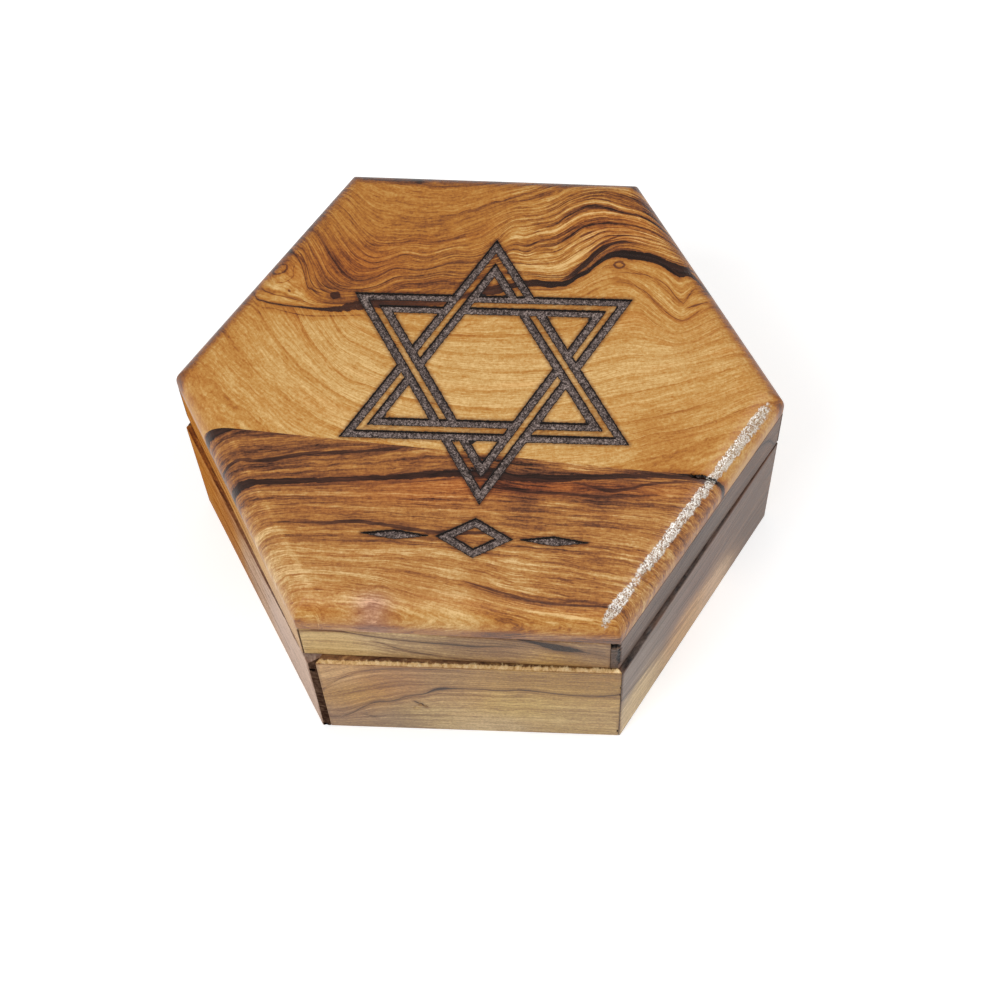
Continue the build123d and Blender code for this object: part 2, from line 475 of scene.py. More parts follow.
class Wood(Net):
    """Olive wood whose figure follows the growth layers stored in the mesh.

    Each step below reads what the ones before it left in tone, colour, rough and normal.
    """

    def __init__(self, name):
        super().__init__(name)
        self.place = self.node("TexCoord").outputs["Object"]
        self.along = self.attribute("along")
        self.across = self.attribute("across")
        self.level = self.attribute("level")

    def stretched(self, *parts, detail=2.0, rough=0.5, twist=0.0):
        """Noise over two or three numbers, each given with how many features it has per unit."""
        scaled = [self.times(socket, scale) for socket, scale in parts]
        scaled += [0.0] * (3 - len(scaled))
        return self.noise(self.vector(*scaled), 1.0, detail, rough, twist)

    def rings(self, grain, gap, shift, end):
        """Lines along the layers, each darkening slowly and ending sharply."""
        phase = self.math("FRACT", self.add(self.math("DIVIDE", grain, gap), shift))
        return self.times(self.math("POWER", phase, 5.0), self.fade(phase, 1.0, end))

    def lay_figure(self, two_zones, ring_depth):
        """Growth rings, streaks, fibres and flecks."""
        along, across, level = self.along, self.across, self.level
        tone = self.attribute("tone")
        contrast = self.attribute("contrast")
        self.ragged = self.stretched((along, 0.5), (across, 2.2), (level, 1.0), detail=3.0, rough=0.65)
        if two_zones:
            above = self.fade(self.add(self.attribute("above"), self.times(self.ragged, 0.5)), -0.25, 0.25)
            level = self.mix_number(above, level, self.attribute("level_above"))
            tone = self.mix_number(above, tone, self.attribute("tone_above"))
            contrast = self.mix_number(above, contrast, self.attribute("contrast_above"))
            ring_depth = self.mix_number(above, ring_depth, 1.3 * ring_depth)
            self.level = level

        # Slow warp, so that no line runs perfectly even
        drift = self.stretched((along, 0.09), (across, 0.12), (level, 0.25))
        wobble = self.stretched((along, 0.35), (across, 0.5), (level, 0.5), detail=3.0)
        grain = self.add(level, self.times(drift, 0.9), self.times(wobble, 0.45))

        ring = self.rings(grain, RING_GAP, 0.0, 0.97)
        ring = self.add(ring, self.times(self.rings(grain, 0.41 * RING_GAP, 0.3, 0.95), 0.4))
        ring_strength = self.fade(self.stretched((along, 0.05), (level, 0.3)), -0.15, 0.1, 0.45, 1.0)
        broad = self.stretched((along, 0.02), (grain, 0.45), detail=3.0, rough=0.6)
        self.streaks = self.stretched(
            (along, 0.035), (grain, 1.3), (across, 0.05), detail=4.0, rough=0.62, twist=0.2
        )
        self.hair = self.stretched((along, 0.3), (grain, 5.0), (across, 1.1), detail=3.0, rough=0.65)
        self.speck = self.noise(self.place, 2200.0, 2.0, 0.7)
        flecks = self.stretched((along, 0.7), (grain, 3.4), (across, 1.0), detail=1.0)
        self.tone = self.add(
            tone,
            self.times(ring, ring_strength, self.times(ring_depth, -1.0)),
            self.times(broad, contrast, 2.0),
            self.times(self.streaks, contrast, 3.6),
            self.times(self.hair, self.add(self.times(contrast, 2.0), 0.44)),
            self.times(self.speck, 0.46),
            self.times(self.fade(flecks, 0.15, 0.27), -0.13),
        )

    def lay_veins(self, veins):
        """Dark veins with ragged sides and a halo."""
        dark = None
        for vein in veins:
            away, half, strength = self.attribute_parts(vein)
            width = self.times(half, self.add(1.0, self.times(self.ragged, 1.2)))
            reach = self.math("SUBTRACT", self.math("ABSOLUTE", away), width)
            reach = self.add(reach, self.times(self.hair, 0.25), self.times(self.streaks, 0.3))
            core = self.times(self.fade(reach, 0.10, -0.14), strength)
            halo = self.times(self.fade(reach, 1.3, -0.1), strength, 0.3)
            one = self.times(self.math("MAXIMUM", core, halo), self.fade(half, -0.2, 0.1))
            dark = one if dark is None else self.math("MAXIMUM", dark, one)
        vein_tone = self.add(0.06, self.times(self.hair, 0.3), self.times(self.streaks, 0.3))
        self.tone = self.mix_number(dark, self.tone, vein_tone)

    def tint(self, tones):
        """Colours by tone, warmer, greyer or redder in places, and darker along the board's edges. Greyer is
        greyed wood in places, painted reflection on the side walls and painted shade on the front board's
        front face.
        """
        warm = self.stretched((self.along, 0.06), (self.across, 0.1), (self.level, 0.5))
        colour = self.ramp(self.tone, tones)
        colour = self.mix(self.fade(warm, 0.0, 0.3, 0.0, 0.3), colour, linear(255, 224, 190), "MULTIPLY")
        colour = self.mix(self.attribute("grey_and_painted_reflection"), colour, self.ramp(self.tone, GREY_TONES))
        red = self.times(self.attribute("red"), 0.8)
        colour = self.mix(red, colour, linear(255, 206, 184), "MULTIPLY")
        edge = self.fade(self.add(self.attribute("edge"), self.times(self.ragged, 0.8)), 0.75, 0.1)
        patches = self.fade(self.noise(self.place, 120.0, 2.0), -0.08, 0.12)
        self.colour = self.mix(self.times(edge, patches, 0.5), colour, linear(120, 74, 44))

    def lay_surface(self, gloss):
        """Roughness and relief of the pores."""
        hair, speck = self.hair, self.speck
        self.rough = self.add(gloss, self.times(hair, 0.3), self.times(speck, 0.3))
        height = self.add(self.times(hair, 0.8), self.times(self.streaks, 0.35), self.times(speck, 0.6))
        self.normal = self.bump(height, 0.6, 0.1)

    def add_glitter_and_painted_glints(self):
        """The polished end grain of the right-hand arris glitters through its coat, and carries a painted
        sheen and pale painted glints.
        """
        grain = self.noise(self.place, 4300.0, 2.0, 0.7)
        torn = self.noise(self.place, 1250.0, 3.0, 0.7)
        polish_and_painted_sheen = self.fade(self.add(self.attribute("glitter_and_painted_glint"), self.times(torn, 0.9)), 0.3, 0.6)
        fibres_and_painted_glints = self.times(polish_and_painted_sheen, self.fade(self.add(grain, self.times(torn, 0.55)), -0.12, 0.1))
        # Painted sheen: the band is greyed towards a sheen colour. Painted glints: pale specks on its fibres.
        self.colour = self.mix(self.times(polish_and_painted_sheen, 0.6), self.colour, linear(112, 94, 78))
        self.colour = self.mix(self.times(fibres_and_painted_glints, 0.8), self.colour, linear(240, 232, 218))
        coat = self.shader.inputs
        self.feed(coat["Coat Weight"], fibres_and_painted_glints)
        coat["Coat Roughness"].default_value = 0.16
        coat["Coat IOR"].default_value = 2.2
        self.feed(coat["Coat Normal"], self.bump(self.add(grain, torn), 0.8, 0.08))

    def add_raw_wood(self):
        """Raw sawn rims, end grain in the mitres, and dark holes and torn spots."""
        raw = self.attribute("raw")
        fuzz = self.stretched(
            (self.along, 1.6), (self.across, 0.9), (self.level, 1.2), detail=3.0, rough=0.7
        )
        raw_tone = self.add(0.45, self.times(raw, 0.25), self.times(fuzz, 1.5))
        raw_here = self.fade(self.add(raw, self.times(fuzz, 0.9)), 0.25, 0.55)
        self.colour = self.mix(raw_here, self.colour, self.ramp(raw_tone, RAW_TONES))
        self.rough = self.mix_number(raw_here, self.rough, 0.85)
        self.normal = self.bump(self.times(fuzz, raw_here), 0.7, 0.35, self.normal)
        end_here = self.fade(self.math("ABSOLUTE", self.along), side / 2 - 0.02, side / 2 + 0.1)
        end_here = self.times(end_here, self.attribute("has_end"))
        end_tone = self.add(0.5, fuzz, self.times(self.streaks, 0.8))
        self.colour = self.mix(end_here, self.colour, self.ramp(end_tone, END_TONES))
        # Hollows are darkened towards their middles; along the open glue line this black is painted shade in
        # the gap
        hollow = self.fade(self.add(self.attribute("pit"), self.times(self.speck, 0.4)), 0.2, 0.6)
        self.colour = self.mix(hollow, self.colour, linear(20, 12, 9))

    def burn_grooves(self):
        """Charred, gritty grooves with blacker sides, charred and carrying painted shade, and scorched rims.
        """
        grit = self.noise(self.place, 3300.0, 3.0, 0.75)
        crumb = self.noise(self.place, 1500.0, 2.0, 0.6)
        bite = self.add(self.attribute("groove"), self.times(crumb, 0.35))
        burnt = self.fade(bite, 0.20, 0.06)
        scorch = self.times(self.fade(bite, 0.8, 0.1), 0.6)
        # The groove's sides are drawn near black: char, and painted shade of the groove's walls
        wall = self.fade(self.math("ABSOLUTE", self.add(bite, 0.05)), 0.42, 0.24)
        char_tone = self.add(0.53, self.times(grit, 3.2), self.times(crumb, 0.9))
        char = self.mix(self.times(wall, 0.95), self.ramp(char_tone, CHAR_TONES), linear(16, 10, 9))
        self.colour = self.mix(scorch, self.colour, linear(124, 72, 40), "MULTIPLY")
        self.colour = self.mix(burnt, self.colour, char)
        self.rough = self.mix_number(burnt, self.rough, 0.8)
        self.normal = self.bump(self.times(burnt, self.add(grit, crumb)), 0.9, 0.2, self.normal)


def wood(name, veins, engraved=False, two_zones=False, gloss=0.4, ring_depth=0.2, tones=WOOD_TONES,
         shine=0.3):
    """One board's wood. With two zones, its mesh holds other layers above the main vein."""
    net = Wood(name)
    net.lay_figure(two_zones, ring_depth)
    net.lay_veins(veins)
    net.tint(tones)
    net.lay_surface(gloss)
    if engraved:
        net.add_glitter_and_painted_glints()
    net.add_raw_wood()
    if engraved:
        net.burn_grooves()
    net.feed(net.shader.inputs["Base Color"], net.colour)
    net.feed(net.shader.inputs["Roughness"], net.rough)
    net.feed(net.shader.inputs["Normal"], net.normal)
    net.shader.inputs["Specular IOR Level"].default_value = shine
    return net.material


def brass(name, colour, dull):
    """Small drawn-brass parts: brushed, dulled in patches, darker in streaks along the brushing."""
    net = Net(name)
    place = net.node("TexCoord").outputs["Object"]
    stretched = net.node("Mapping", place)
    stretched.inputs["Scale"].default_value = (1.0, 14.0, 14.0)
    brushed = net.noise(stretched.outputs[0], 900.0, 3.0, 0.6)
    patch = net.noise(place, 420.0, 3.0, 0.6)
    tint = net.mix(net.fade(patch, -0.05, 0.2), linear(*colour), linear(*dull))
    tint = net.mix(net.fade(brushed, 0.0, 0.3, 0.0, 0.4), tint, linear(90, 66, 34))
    net.shader.inputs["Metallic"].default_value = 1.0
    net.feed(net.shader.inputs["Base Color"], tint)
    net.feed(net.shader.inputs["Roughness"], net.add(0.3, net.times(patch, 0.3), net.times(brushed, 0.2)))
    net.feed(net.shader.inputs["Normal"], net.bump(brushed, 0.35, 0.03))
    return net.material


# The lid's two top boards

# Growth lines of the pale middle of the back board, lowest first
MIDDLE_LINES = [
    [(-52, -14), (-40, -22), (-20, -28), (0, -30), (20, -28), (40, -20), (52, -14)],
    [(-52, 8), (-45, 1), (-40, -4), (-35, -8.5), (-30, -12), (-20, -16), (0, -18), (20, -15.5),
     (30, -12.5), (36, -9.9), (46, -6), (52, -3)],
    [(-52, 18), (-44, 11), (-40, 6), (-35, 0.5), (-30, -4), (-25, -7.5), (-19, -10), (-10, -12),
     (0, -13), (10, -12.5), (20, -11), (26, -9.8), (30, -8.3), (35, -7.1), (39, -5.6), (46, -2), (52, 1)],
    [(-52, 30), (-44, 21), (-40, 16.5), (-38, 14.4), (-34.6, 9.4), (-31.4, 5.1), (-27, 1), (-22, -2.5),
     (-16, -5.2), (-8, -7.2), (0, -8), (8, -7.8), (15, -7), (20, -6.4), (25, -6), (30.4, -4.9),
     (35.7, -3.1), (40, -1.4), (46, 1.5), (52, 4)],
    [(-52, 42), (-38, 23), (-31, 13.4), (-28.9, 9.4), (-26.4, 5.9), (-22.9, 1.9), (-18, -0.5),
     (-13, -2.2), (-8, -3.3), (-3, -4), (2, -4.3), (7, -4.1), (12, -3.6), (17, -2.7), (22, -1.6),
     (27, -0.2), (32, 1.2), (37, 2.9), (42, 5), (52, 9)],
    [(-52, 50), (-36, 26), (-29.3, 13.7), (-27.1, 10.5), (-24.3, 6.9), (-21.4, 4.8), (-16, 1.9),
     (-10, 0.6), (-5, -0.5), (0, -0.9), (5, -0.8), (10, -0.4), (15, 0.3), (20, 1.2), (25, 3),
     (30.7, 4.1), (35.7, 5.5), (42.9, 7.5), (52, 11)],
    [(-52, 58), (-32, 26), (-25.4, 13.5), (-23.2, 9.8), (-19.6, 7.3), (-16.1, 5.5), (-11, 4.6),
     (-7.9, 4.1), (0, 2.9), (5, 2.8), (10, 3.1), (15, 3.9), (20, 5.2), (25, 6.9), (29.6, 6.7),
     (33.9, 7.6), (39.3, 10.1), (45, 13), (52, 16)],
    [(-52, 62), (-30, 26), (-24, 14), (-21, 11.5), (-16, 9), (-10, 7.4), (-5, 6.7), (0, 6.4), (8, 6.6),
     (15, 8), (20, 9.6), (25, 11), (29, 10.6), (33.2, 9.3), (35.7, 10), (39.3, 12.3), (43, 15), (52, 20)],
    [(-52, 66), (-30, 30), (-22, 15), (-15, 12), (-8, 10.6), (0, 10), (8, 10.5), (15, 12.2), (20, 14),
     (24, 15.6), (27.1, 15.4), (29.6, 13.2), (33.2, 11.5), (35.7, 12.4), (39.3, 14.7), (44, 18), (52, 23)],
    [(-52, 70), (-22, 17), (-8, 16), (8, 18.8), (13, 18.8), (16, 19.5), (19, 21.3), (21.5, 22.6),
     (24, 22.6), (26, 21.2), (28.6, 18.7), (31, 15.9), (33.6, 14), (36, 15.3), (40, 18.5), (52, 27)],
    [(-52, 74), (-22, 18.5), (-8, 17.5), (8, 20), (12.4, 20.2), (16, 21.3), (19, 23.7), (21, 25.2),
     (23, 25.2), (25, 24.5), (28.6, 23), (31.4, 20.6), (33.6, 18), (35.4, 19.8), (38, 21.5), (52, 31)],
    [(-52, 80), (-22, 30), (0, 30), (8, 22), (14.3, 22.5), (17, 25), (20, 28), (24, 30), (30, 29),
     (34, 27), (38, 27), (52, 38)],
]

# Growth lines above the main vein, lowest first
UPPER_LINES = [
    [(-52, 8), (-40, 12), (-36, 11), (-25, 9), (0, 10), (20, 12), (34, 16), (52, 14)],
    [(-52, 28), (-40, 18.5), (-38.6, 16.9), (-37.1, 16.2), (-35, 15.7), (-30, 15), (-25, 14.6),
     (-20, 15), (-15, 15.5), (-10, 16.3), (-5, 17.8), (0, 20), (4, 21.3), (8, 21.8), (12.4, 21.5),
     (14.3, 21.8), (16.1, 23.4), (17.9, 24.6), (19.6, 26.3), (21.4, 27.8), (23.2, 28.5), (25, 28.4),
     (28.6, 27.6), (30.4, 26.9), (32.1, 26), (33.6, 25.9), (35.2, 26), (38, 24), (52, 18)],
    [(-52, 40), (-36, 33), (-32.9, 26.9), (-30.7, 23.7), (-30, 20.9), (-28.6, 18.6), (-25.7, 17),
     (-22, 17.3), (-17, 18.6), (-14, 20.2), (-10.7, 20.5), (-7.1, 21.2), (-3.6, 20.9), (0, 22.5),
     (4, 23.3), (8, 23.2), (14, 23.2), (16, 24.4), (17.9, 26), (20, 28.4), (21.4, 29.3), (23.2, 30.2),
     (25, 30.3), (28, 29.4), (31, 28.6), (34, 27.7), (38, 26), (52, 20)],
    [(-52, 46), (-34, 33), (-31, 29.5), (-28.6, 25.1), (-27.1, 21.8), (-25, 19.6), (-22.1, 18.9),
     (-18, 19.8), (-15, 21.6), (-11, 22), (-7, 23), (-3.6, 22.8), (0, 24), (4, 25.2), (8.6, 25),
     (12.1, 25.3), (15.4, 27.6), (18, 29.7), (20, 31.2), (22.9, 31.6), (25.4, 31.6), (30, 30.4),
     (34, 28.8), (52, 22)],
    [(-52, 50), (-32, 34), (-29, 30.5), (-26.5, 26.5), (-24.5, 23.4), (-22.5, 21.4), (-19, 21.6),
     (-15.7, 23.6), (-11.4, 23.2), (-8.2, 24), (-5, 25.3), (-1.8, 25.3), (2, 26.7), (5, 28.5),
     (7.1, 28), (9.3, 29.2), (12.1, 29.8), (14.3, 31.5), (16.8, 33.4), (20, 34.2), (25, 34), (30, 32),
     (34, 30), (52, 24)],
    [(-52, 54), (-30, 36.5), (-26, 32), (-23, 27.5), (-20, 24.8), (-17, 25), (-14, 26.5), (-10, 25.8),
     (-6, 27.5), (-2, 27.8), (2, 30.5), (4.3, 33), (6.4, 33.6), (10, 34.2), (12.1, 35), (14.3, 36.8),
     (17, 38.2), (20, 38.5), (23.2, 37.3), (27.1, 36.2), (31, 34), (52, 28)],
    [(-52, 58), (-28, 39), (-24, 35), (-20, 30), (-16, 29), (-12, 29.5), (-8, 29.5), (-4, 31), (0, 33),
     (2.1, 34.8), (4.6, 36.2), (8.9, 36.9), (11.8, 38.4), (13.9, 40.1), (16.1, 41), (19.3, 41.8),
     (25, 41), (31, 38), (52, 32)],
    [(-52, 62), (-26, 42), (-20, 37), (-12, 35), (-6, 35.5), (0, 38), (4, 39.5), (8, 41), (12, 43),
     (16, 45), (25, 45), (52, 38)],
    [(-52, 66), (-26, 46), (-10, 42), (0, 43), (8, 46), (25, 50), (52, 48)],
]

# Dark veins of the back board: (x, y, half width). The main one parts the two zones of growth lines, and
# its darkness varies along X.
MAIN_VEIN = [
    (-41, 20, 0.18), (-39.3, 18.6, 0.2), (-38.6, 16.9, 0.2), (-37, 15.9, 0.2), (-35, 15.4, 0.18),
    (-30, 14.8, 0.25), (-27, 14.5, 0.4), (-24, 14.7, 0.7), (-21, 15.5, 0.95), (-17, 16.1, 1.0),
    (-13, 16.2, 0.9), (-9.5, 16.3, 0.7), (-6, 16.8, 0.6), (-2.5, 18, 0.6), (0, 18.9, 0.9), (2.2, 19.4, 1.1),
    (4.5, 20.2, 0.7), (8.6, 21, 0.75), (12.4, 20.8, 0.7),
    (14.3, 21.2, 0.6), (16.1, 22.6, 0.55), (17.9, 23.9, 0.5), (19.6, 25.7, 0.5), (21.4, 27.2, 0.6),
    (23.2, 27.6, 0.8), (25, 27.4, 0.95), (26.8, 27.2, 0.95), (28.6, 26.8, 0.85), (30.4, 26, 0.9),
    (32.1, 24.9, 1.15), (33.6, 24.3, 1.5), (34.8, 24.6, 1.1), (36, 23.4, 0.35), (38.5, 21, 0.2),
]
MAIN_VEIN_STRENGTH = [
    (-41, 0.8), (-28, 1.0), (-20, 0.85), (-12, 0.75), (-6, 0.6), (0, 0.8), (8, 1.0), (40, 1.0),
]
SIDE_VEINS = [
    [(13, 21.6, 0.1), (15, 22.9, 0.5), (17.1, 25.2, 0.75), (18.6, 27, 0.85), (20, 28.6, 0.7),
     (21.4, 29.6, 0.5), (23.2, 30.2, 0.4), (25, 30.1, 0.15), (26, 30, 0.03)],
    [(16, 26, 0.05), (18, 28, 0.2), (20, 29.9, 0.3), (21.4, 30.7, 0.3), (22.9, 31.4, 0.25),
     (25.4, 31.6, 0.05)],
    [(-41, 18, 0.1), (-39.6, 17.1, 0.12), (-38.2, 15.2, 0.12), (-35, 14.4, 0.1), (-32.9, 13.8, 0.12),
     (-30, 13.2, 0.14), (-25, 13.2, 0.12), (-20.4, 13.5, 0.1), (-17, 13.6, 0.03)],
]
# Lines that curl round the knot
KNOT_LINES = [
    [(-34.2, 27.2, 0.12), (-33.2, 26.6, 0.21), (-32.2, 25.2, 0.27), (-31.3, 23.4, 0.3),
     (-30.6, 21.4, 0.3), (-30.1, 19.6, 0.27), (-28.9, 18.5, 0.21), (-27.2, 17.8, 0.15)],
    [(-33.6, 28, 0.12), (-32.4, 26.9, 0.21), (-31.3, 25.2, 0.3), (-30.4, 23.2, 0.33), (-29.7, 21, 0.3),
     (-29.1, 19.6, 0.24), (-27.6, 18.6, 0.18), (-26, 18, 0.09)],
    [(-31.6, 27.4, 0.09), (-30.4, 25.4, 0.15), (-29.4, 23.2, 0.195), (-28.6, 21, 0.195), (-27.6, 19.6, 0.15),
     (-26, 18.9, 0.075)],
    [(-38.6, 20.6, 0.075), (-37.6, 18.6, 0.15), (-36, 17.6, 0.15), (-33.5, 16.9, 0.12), (-30, 16, 0.09),
     (-26, 15.8, 0.12), (-22, 16, 0.075)],
    [(-28, 20.4, 0.075), (-26.8, 19.3, 0.24), (-25.4, 18.8, 0.21), (-24, 18.8, 0.06)],
    [(-26.4, 21.2, 0.06), (-25.2, 20, 0.21), (-23.6, 19.4, 0.18), (-22, 19.4, 0.06)],
]
# Lines that meet in a vee under the vein's right end
VEE_LINES = [
    [(22, 23.8, 0.05), (25, 23.6, 0.12), (28.6, 22.9, 0.12), (31.4, 20.9, 0.13), (33.4, 18, 0.14),
     (34, 17.5, 0.1), (35.4, 20, 0.14), (36.2, 21, 0.05)],
    [(22, 21.9, 0.04), (25, 21.3, 0.1), (27.5, 19.8, 0.12), (30, 17, 0.12), (32.4, 14.6, 0.1),
     (34, 14, 0.1), (36, 15.4, 0.1), (37.4, 16.6, 0.04)],
    [(34.4, 16.4, 0.05), (35.4, 16.9, 0.22), (36.8, 17.5, 0.2), (38.2, 18.2, 0.05)],
]
# Veins that close on themselves: x, y, radii, half width, darkness and turn
BACK_RINGS = {
    "knot_eye": (-35.1, 23.0, 1.3, 1.15, 0.2, 0.7, 20),
    "knot_oval": (-34.5, 22.4, 2.3, 2.5, 0.12, 0.5, -15),
    "small_knot": (23.1, 25.3, 0.9, 0.7, 0.22, 0.7, 0),
    "dark_dot": (-25.0, 17.5, 0.4, 0.35, 0.55, 0.9, 0),
    "pin_dot": (-32.9, 18.4, 0.15, 0.15, 0.3, 0.7, 0),
}
# The back board's lesser veins and lines, by the names under which the mesh holds them
BACK_LINES = {
    f"{kind}_{number}": line
    for kind, lines in (("side", SIDE_VEINS), ("knot", KNOT_LINES), ("vee", VEE_LINES))
    for number, line in enumerate(lines)
}

# Tone and contrast of the two zones, and below them how strongly the end grain of the right-hand arris
# glitters along Y, through its coat and with its painted sheen and glints
UPPER_TONES = [
    (-23, 24, 0.46), (-27, 21, 0.46), (-33, 21, 0.82), (-33.5, 18, 0.78), (-20, 35, 0.66), (-28, 30, 0.58),
    (-5, 38, 0.64), (-10, 28, 0.56), (-10, 19.5, 0.54), (0, 27, 0.54), (8, 30, 0.70), (10, 24, 0.66),
    (14, 30, 0.68), (17, 37, 0.56), (24, 36, 0.48), (28, 31, 0.70), (31, 28, 0.70), (20, 41, 0.60),
    (8, 38, 0.56), (27, 39, 0.62), (-37, 20, 0.60),
]
UPPER_CONTRAST = [
    (-22, 24, 0.30), (-20, 36, 0.12), (-3, 39, 0.10), (-8, 27, 0.30), (14, 32, 0.60), (24, 34, 0.55),
    (10, 40, 0.42), (28, 38, 0.45), (-33, 20, 0.25),
]
MIDDLE_TONES = [
    (-48, 0, 0.72), (-45, 5, 0.76), (-40, 2, 0.80), (-32, 4, 0.86), (-32, -6, 0.83), (-20, 0, 0.90),
    (-10, 5, 0.89), (2, 0, 0.90), (15, 4, 0.90), (30, 4, 0.89), (40, 4, 0.86), (33, -11, 0.68),
    (20, -12, 0.84), (5, -11, 0.85), (27, 20, 0.78), (12, 18, 0.74), (33, 20, 0.70), (36, 14, 0.78),
    (21, 22, 0.74), (46, 3, 0.76), (-42, 12, 0.70), (38, -6, 0.80), (-11, 11, 0.76),
]
GLITTER_AND_PAINTED_GLINT_STRENGTH = [
    (-46, 0), (-43, 0.3), (-41.5, 0.9), (-38, 0.95), (-36, 0.6), (-34.5, 0.45), (-33, 0.8), (-28, 0.95),
    (-24, 0.8), (-19, 0.75), (-16, 0.7), (-13, 0.85), (-8, 1.0), (-4, 0.9), (-1.5, 0.4), (1, 0),
]

# The glue line has opened at its right end: half width along X of the gap, drawn black as painted shade
JOINT_CRACK = [(27, 0.02), (31, 0.08), (34, 0.2), (37, 0.32), (40, 0.35), (44, 0.3)]


def lid_frame(points):
    """Where points of the lid would lie if it had been hung true."""
    angle = radians(-LID_TURN)
    x, y = points[:, 0], points[:, 1] - LID_SETBACK
    return x * cos(angle) - y * sin(angle), x * sin(angle) + y * cos(angle)


def plain_fields(points, along, across, segments):
    """What every board's mesh holds at its points, before its own figure is added."""
    fields = dict.fromkeys(("grey_and_painted_reflection", "red", "raw", "has_end", "pit"), np.zeros(len(points)))
    fields["along"] = along
    fields["across"] = across
    fields["edge"] = np.clip(distance_to(segments, points), 0, 4)
    return fields


def face_side(x, y, name):
    """How far points lie towards a wall's side of the box."""
    direction = radians(WALL_DIRECTIONS[name])
    return x * cos(direction) + y * sin(direction)


def board_fields(points, segments, engraving):
    """What both top boards hold: the engraving, the glitter band with its painted sheen and glints, and the
    open end of the glue line, whose gap is painted shade.
    """
    x, y, z = points.T
    drop = top_z - z
    away = distance_to(engraving, points)
    in_engraving = np.hypot(x, y) < face_distance - ENGRAVING_MARGIN - 2
    in_groove = (drop > 0.02) & (drop < GROOVE_DEPTH + 0.2) & in_engraving
    fields = plain_fields(points, x, drop * 0.8 + 0.15 * y, segments)
    fields["groove"] = np.clip(np.where(in_groove, -np.maximum(away, 0.12), away), -2, 3)
    # The band of the right-hand arris that glitters, where the coat shines and the painted sheen and glints
    # lie
    inward = face_distance - face_side(x, y, "front_right")
    band = np.clip(1.3 - np.abs(inward - 1.6 + 0.05 * y) / 0.95, 0, 1)
    fields["glitter_and_painted_glint"] = band * smooth(GLITTER_AND_PAINTED_GLINT_STRENGTH, y)
    # Painted shade: the open end of the glue line is drawn as a black vein
    off_joint = np.clip(y - JOINT_WORLD_Y - JOINT_SLOPE * x, -4, 4)
    crack_half = np.where(x < JOINT_CRACK[0][0], -1, smooth(JOINT_CRACK, x))
    fields["joint_crack_shade"] = np.stack([off_joint, crack_half, np.ones_like(x)], axis=1)
    return fields


def back_board_fields(points, segments, engraving):
    """The back board's two zones of growth lines, its knots and veins, and its dark outer roundovers."""
    fields = board_fields(points, segments, engraving)
    x, y, z = points.T
    outward = np.max([face_side(x, y, name) for name in ("back_right", "back", "back_left")], axis=0)
    dark_edge = np.clip((outward - face_distance + 2.6) / 1.6, 0, 1)
    y = y + 0.1 * (top_z - z)
    fields["level"] = RING_GAP * layers(MIDDLE_LINES, x, y)
    fields["level_above"] = 20 * RING_GAP + RING_GAP * layers(UPPER_LINES, x, y)
    fields["above"] = y - smooth([p[:2] for p in MAIN_VEIN], x)
    fields["tone"] = spread(MIDDLE_TONES, x, y) - 0.35 * dark_edge
    fields["tone_above"] = spread(UPPER_TONES, x, y) - 0.3 * dark_edge
    fields["contrast"] = 0.07 + 0.2 * blob(x, y, 12, 20, 8, 2.5) + 0.15 * blob(x, y, 32, 19, 6, 5)
    fields["contrast_above"] = spread(UPPER_CONTRAST, x, y)
    fields["red"] = 0.5 * blob(x, y, -22, 24, 9, 5) + 0.4 * blob(x, y, 22, 33, 8, 4)
    fields["main_vein"] = off_line(MAIN_VEIN, x, y, MAIN_VEIN_STRENGTH)
    for name, line in BACK_LINES.items():
        fields[name] = off_line(line, x, y)
    for name, ring in BACK_RINGS.items():
        fields[name] = ring_line(x, y, *ring)
    uneven = 0.35 * np.sin(1.9 * x + 0.7) + 0.3 * np.sin(2.3 * y)
    fields["knot_oval"] = ring_line(x + uneven, y, *BACK_RINGS["knot_oval"])
    return fields


# Growth lines of the front board, lowest first
FRONT_LINES = [
    [(-52, -58), (0, -60), (52, -58)],
    [(-52, -44), (-30, -44.5), (0, -46), (27, -47), (52, -48)],
    [(-52, -40), (-27, -40.5), (-12, -41), (0, -42.5), (10, -43), (27, -44), (52, -45)],
    [(-52, -35.5), (-30, -35.8), (-15, -36.2), (-8, -38.3), (0, -40), (8, -41), (23, -42), (52, -43)],
    [(-52, -33.8), (-31, -34), (-20, -34.4), (-10, -34.5), (-4, -35.6), (2, -37), (8, -38.8),
     (14, -39.8), (23, -40.2), (28, -40.5), (52, -41)],
    [(-52, -31), (-33, -31), (-20, -31.3), (-8, -31.5), (0, -32.5), (10, -34.5), (20, -35.6),
     (30, -37), (52, -39)],
    [(-52, -30.2), (-36, -29.8), (-21.5, -29), (-10, -28.9), (0, -29.2), (10, -30), (20, -30.8),
     (33, -32.5), (52, -34)],
    [(-52, -27), (-37, -26), (-25, -25), (-16, -24.8), (0, -25), (10, -25), (20, -25.6), (35, -27.5),
     (52, -29)],
    [(-52, -23), (-38, -22.2), (-28, -21.8), (-15, -21.6), (0, -21.8), (10, -22), (20, -22.5),
     (36, -23.5), (52, -24)],
    [(-52, -21.5), (-39.5, -20.8), (-30, -20.2), (-20, -19.5), (-10, -18.5), (-2, -17.6), (3, -17.4),
     (8, -18.3), (13, -18.6), (18, -18.3), (23, -18.2), (37, -18.5), (52, -19)],
    [(-52, -18), (-41.5, -16.6), (-35, -15.7), (-30, -14.8), (-22.5, -13.8), (-14, -13), (-8, -12.2),
     (0, -12.5), (10, -14), (20, -15.2), (30, -15.8), (38, -16.3), (52, -17)],
    [(-52, -14), (-44, -12.5), (-40, -11.5), (-35, -10.8), (-28.5, -10.2), (-20, -9), (0, -9),
     (20, -10), (52, -12)],
    [(-52, -4), (0, -2), (52, -4)],
]
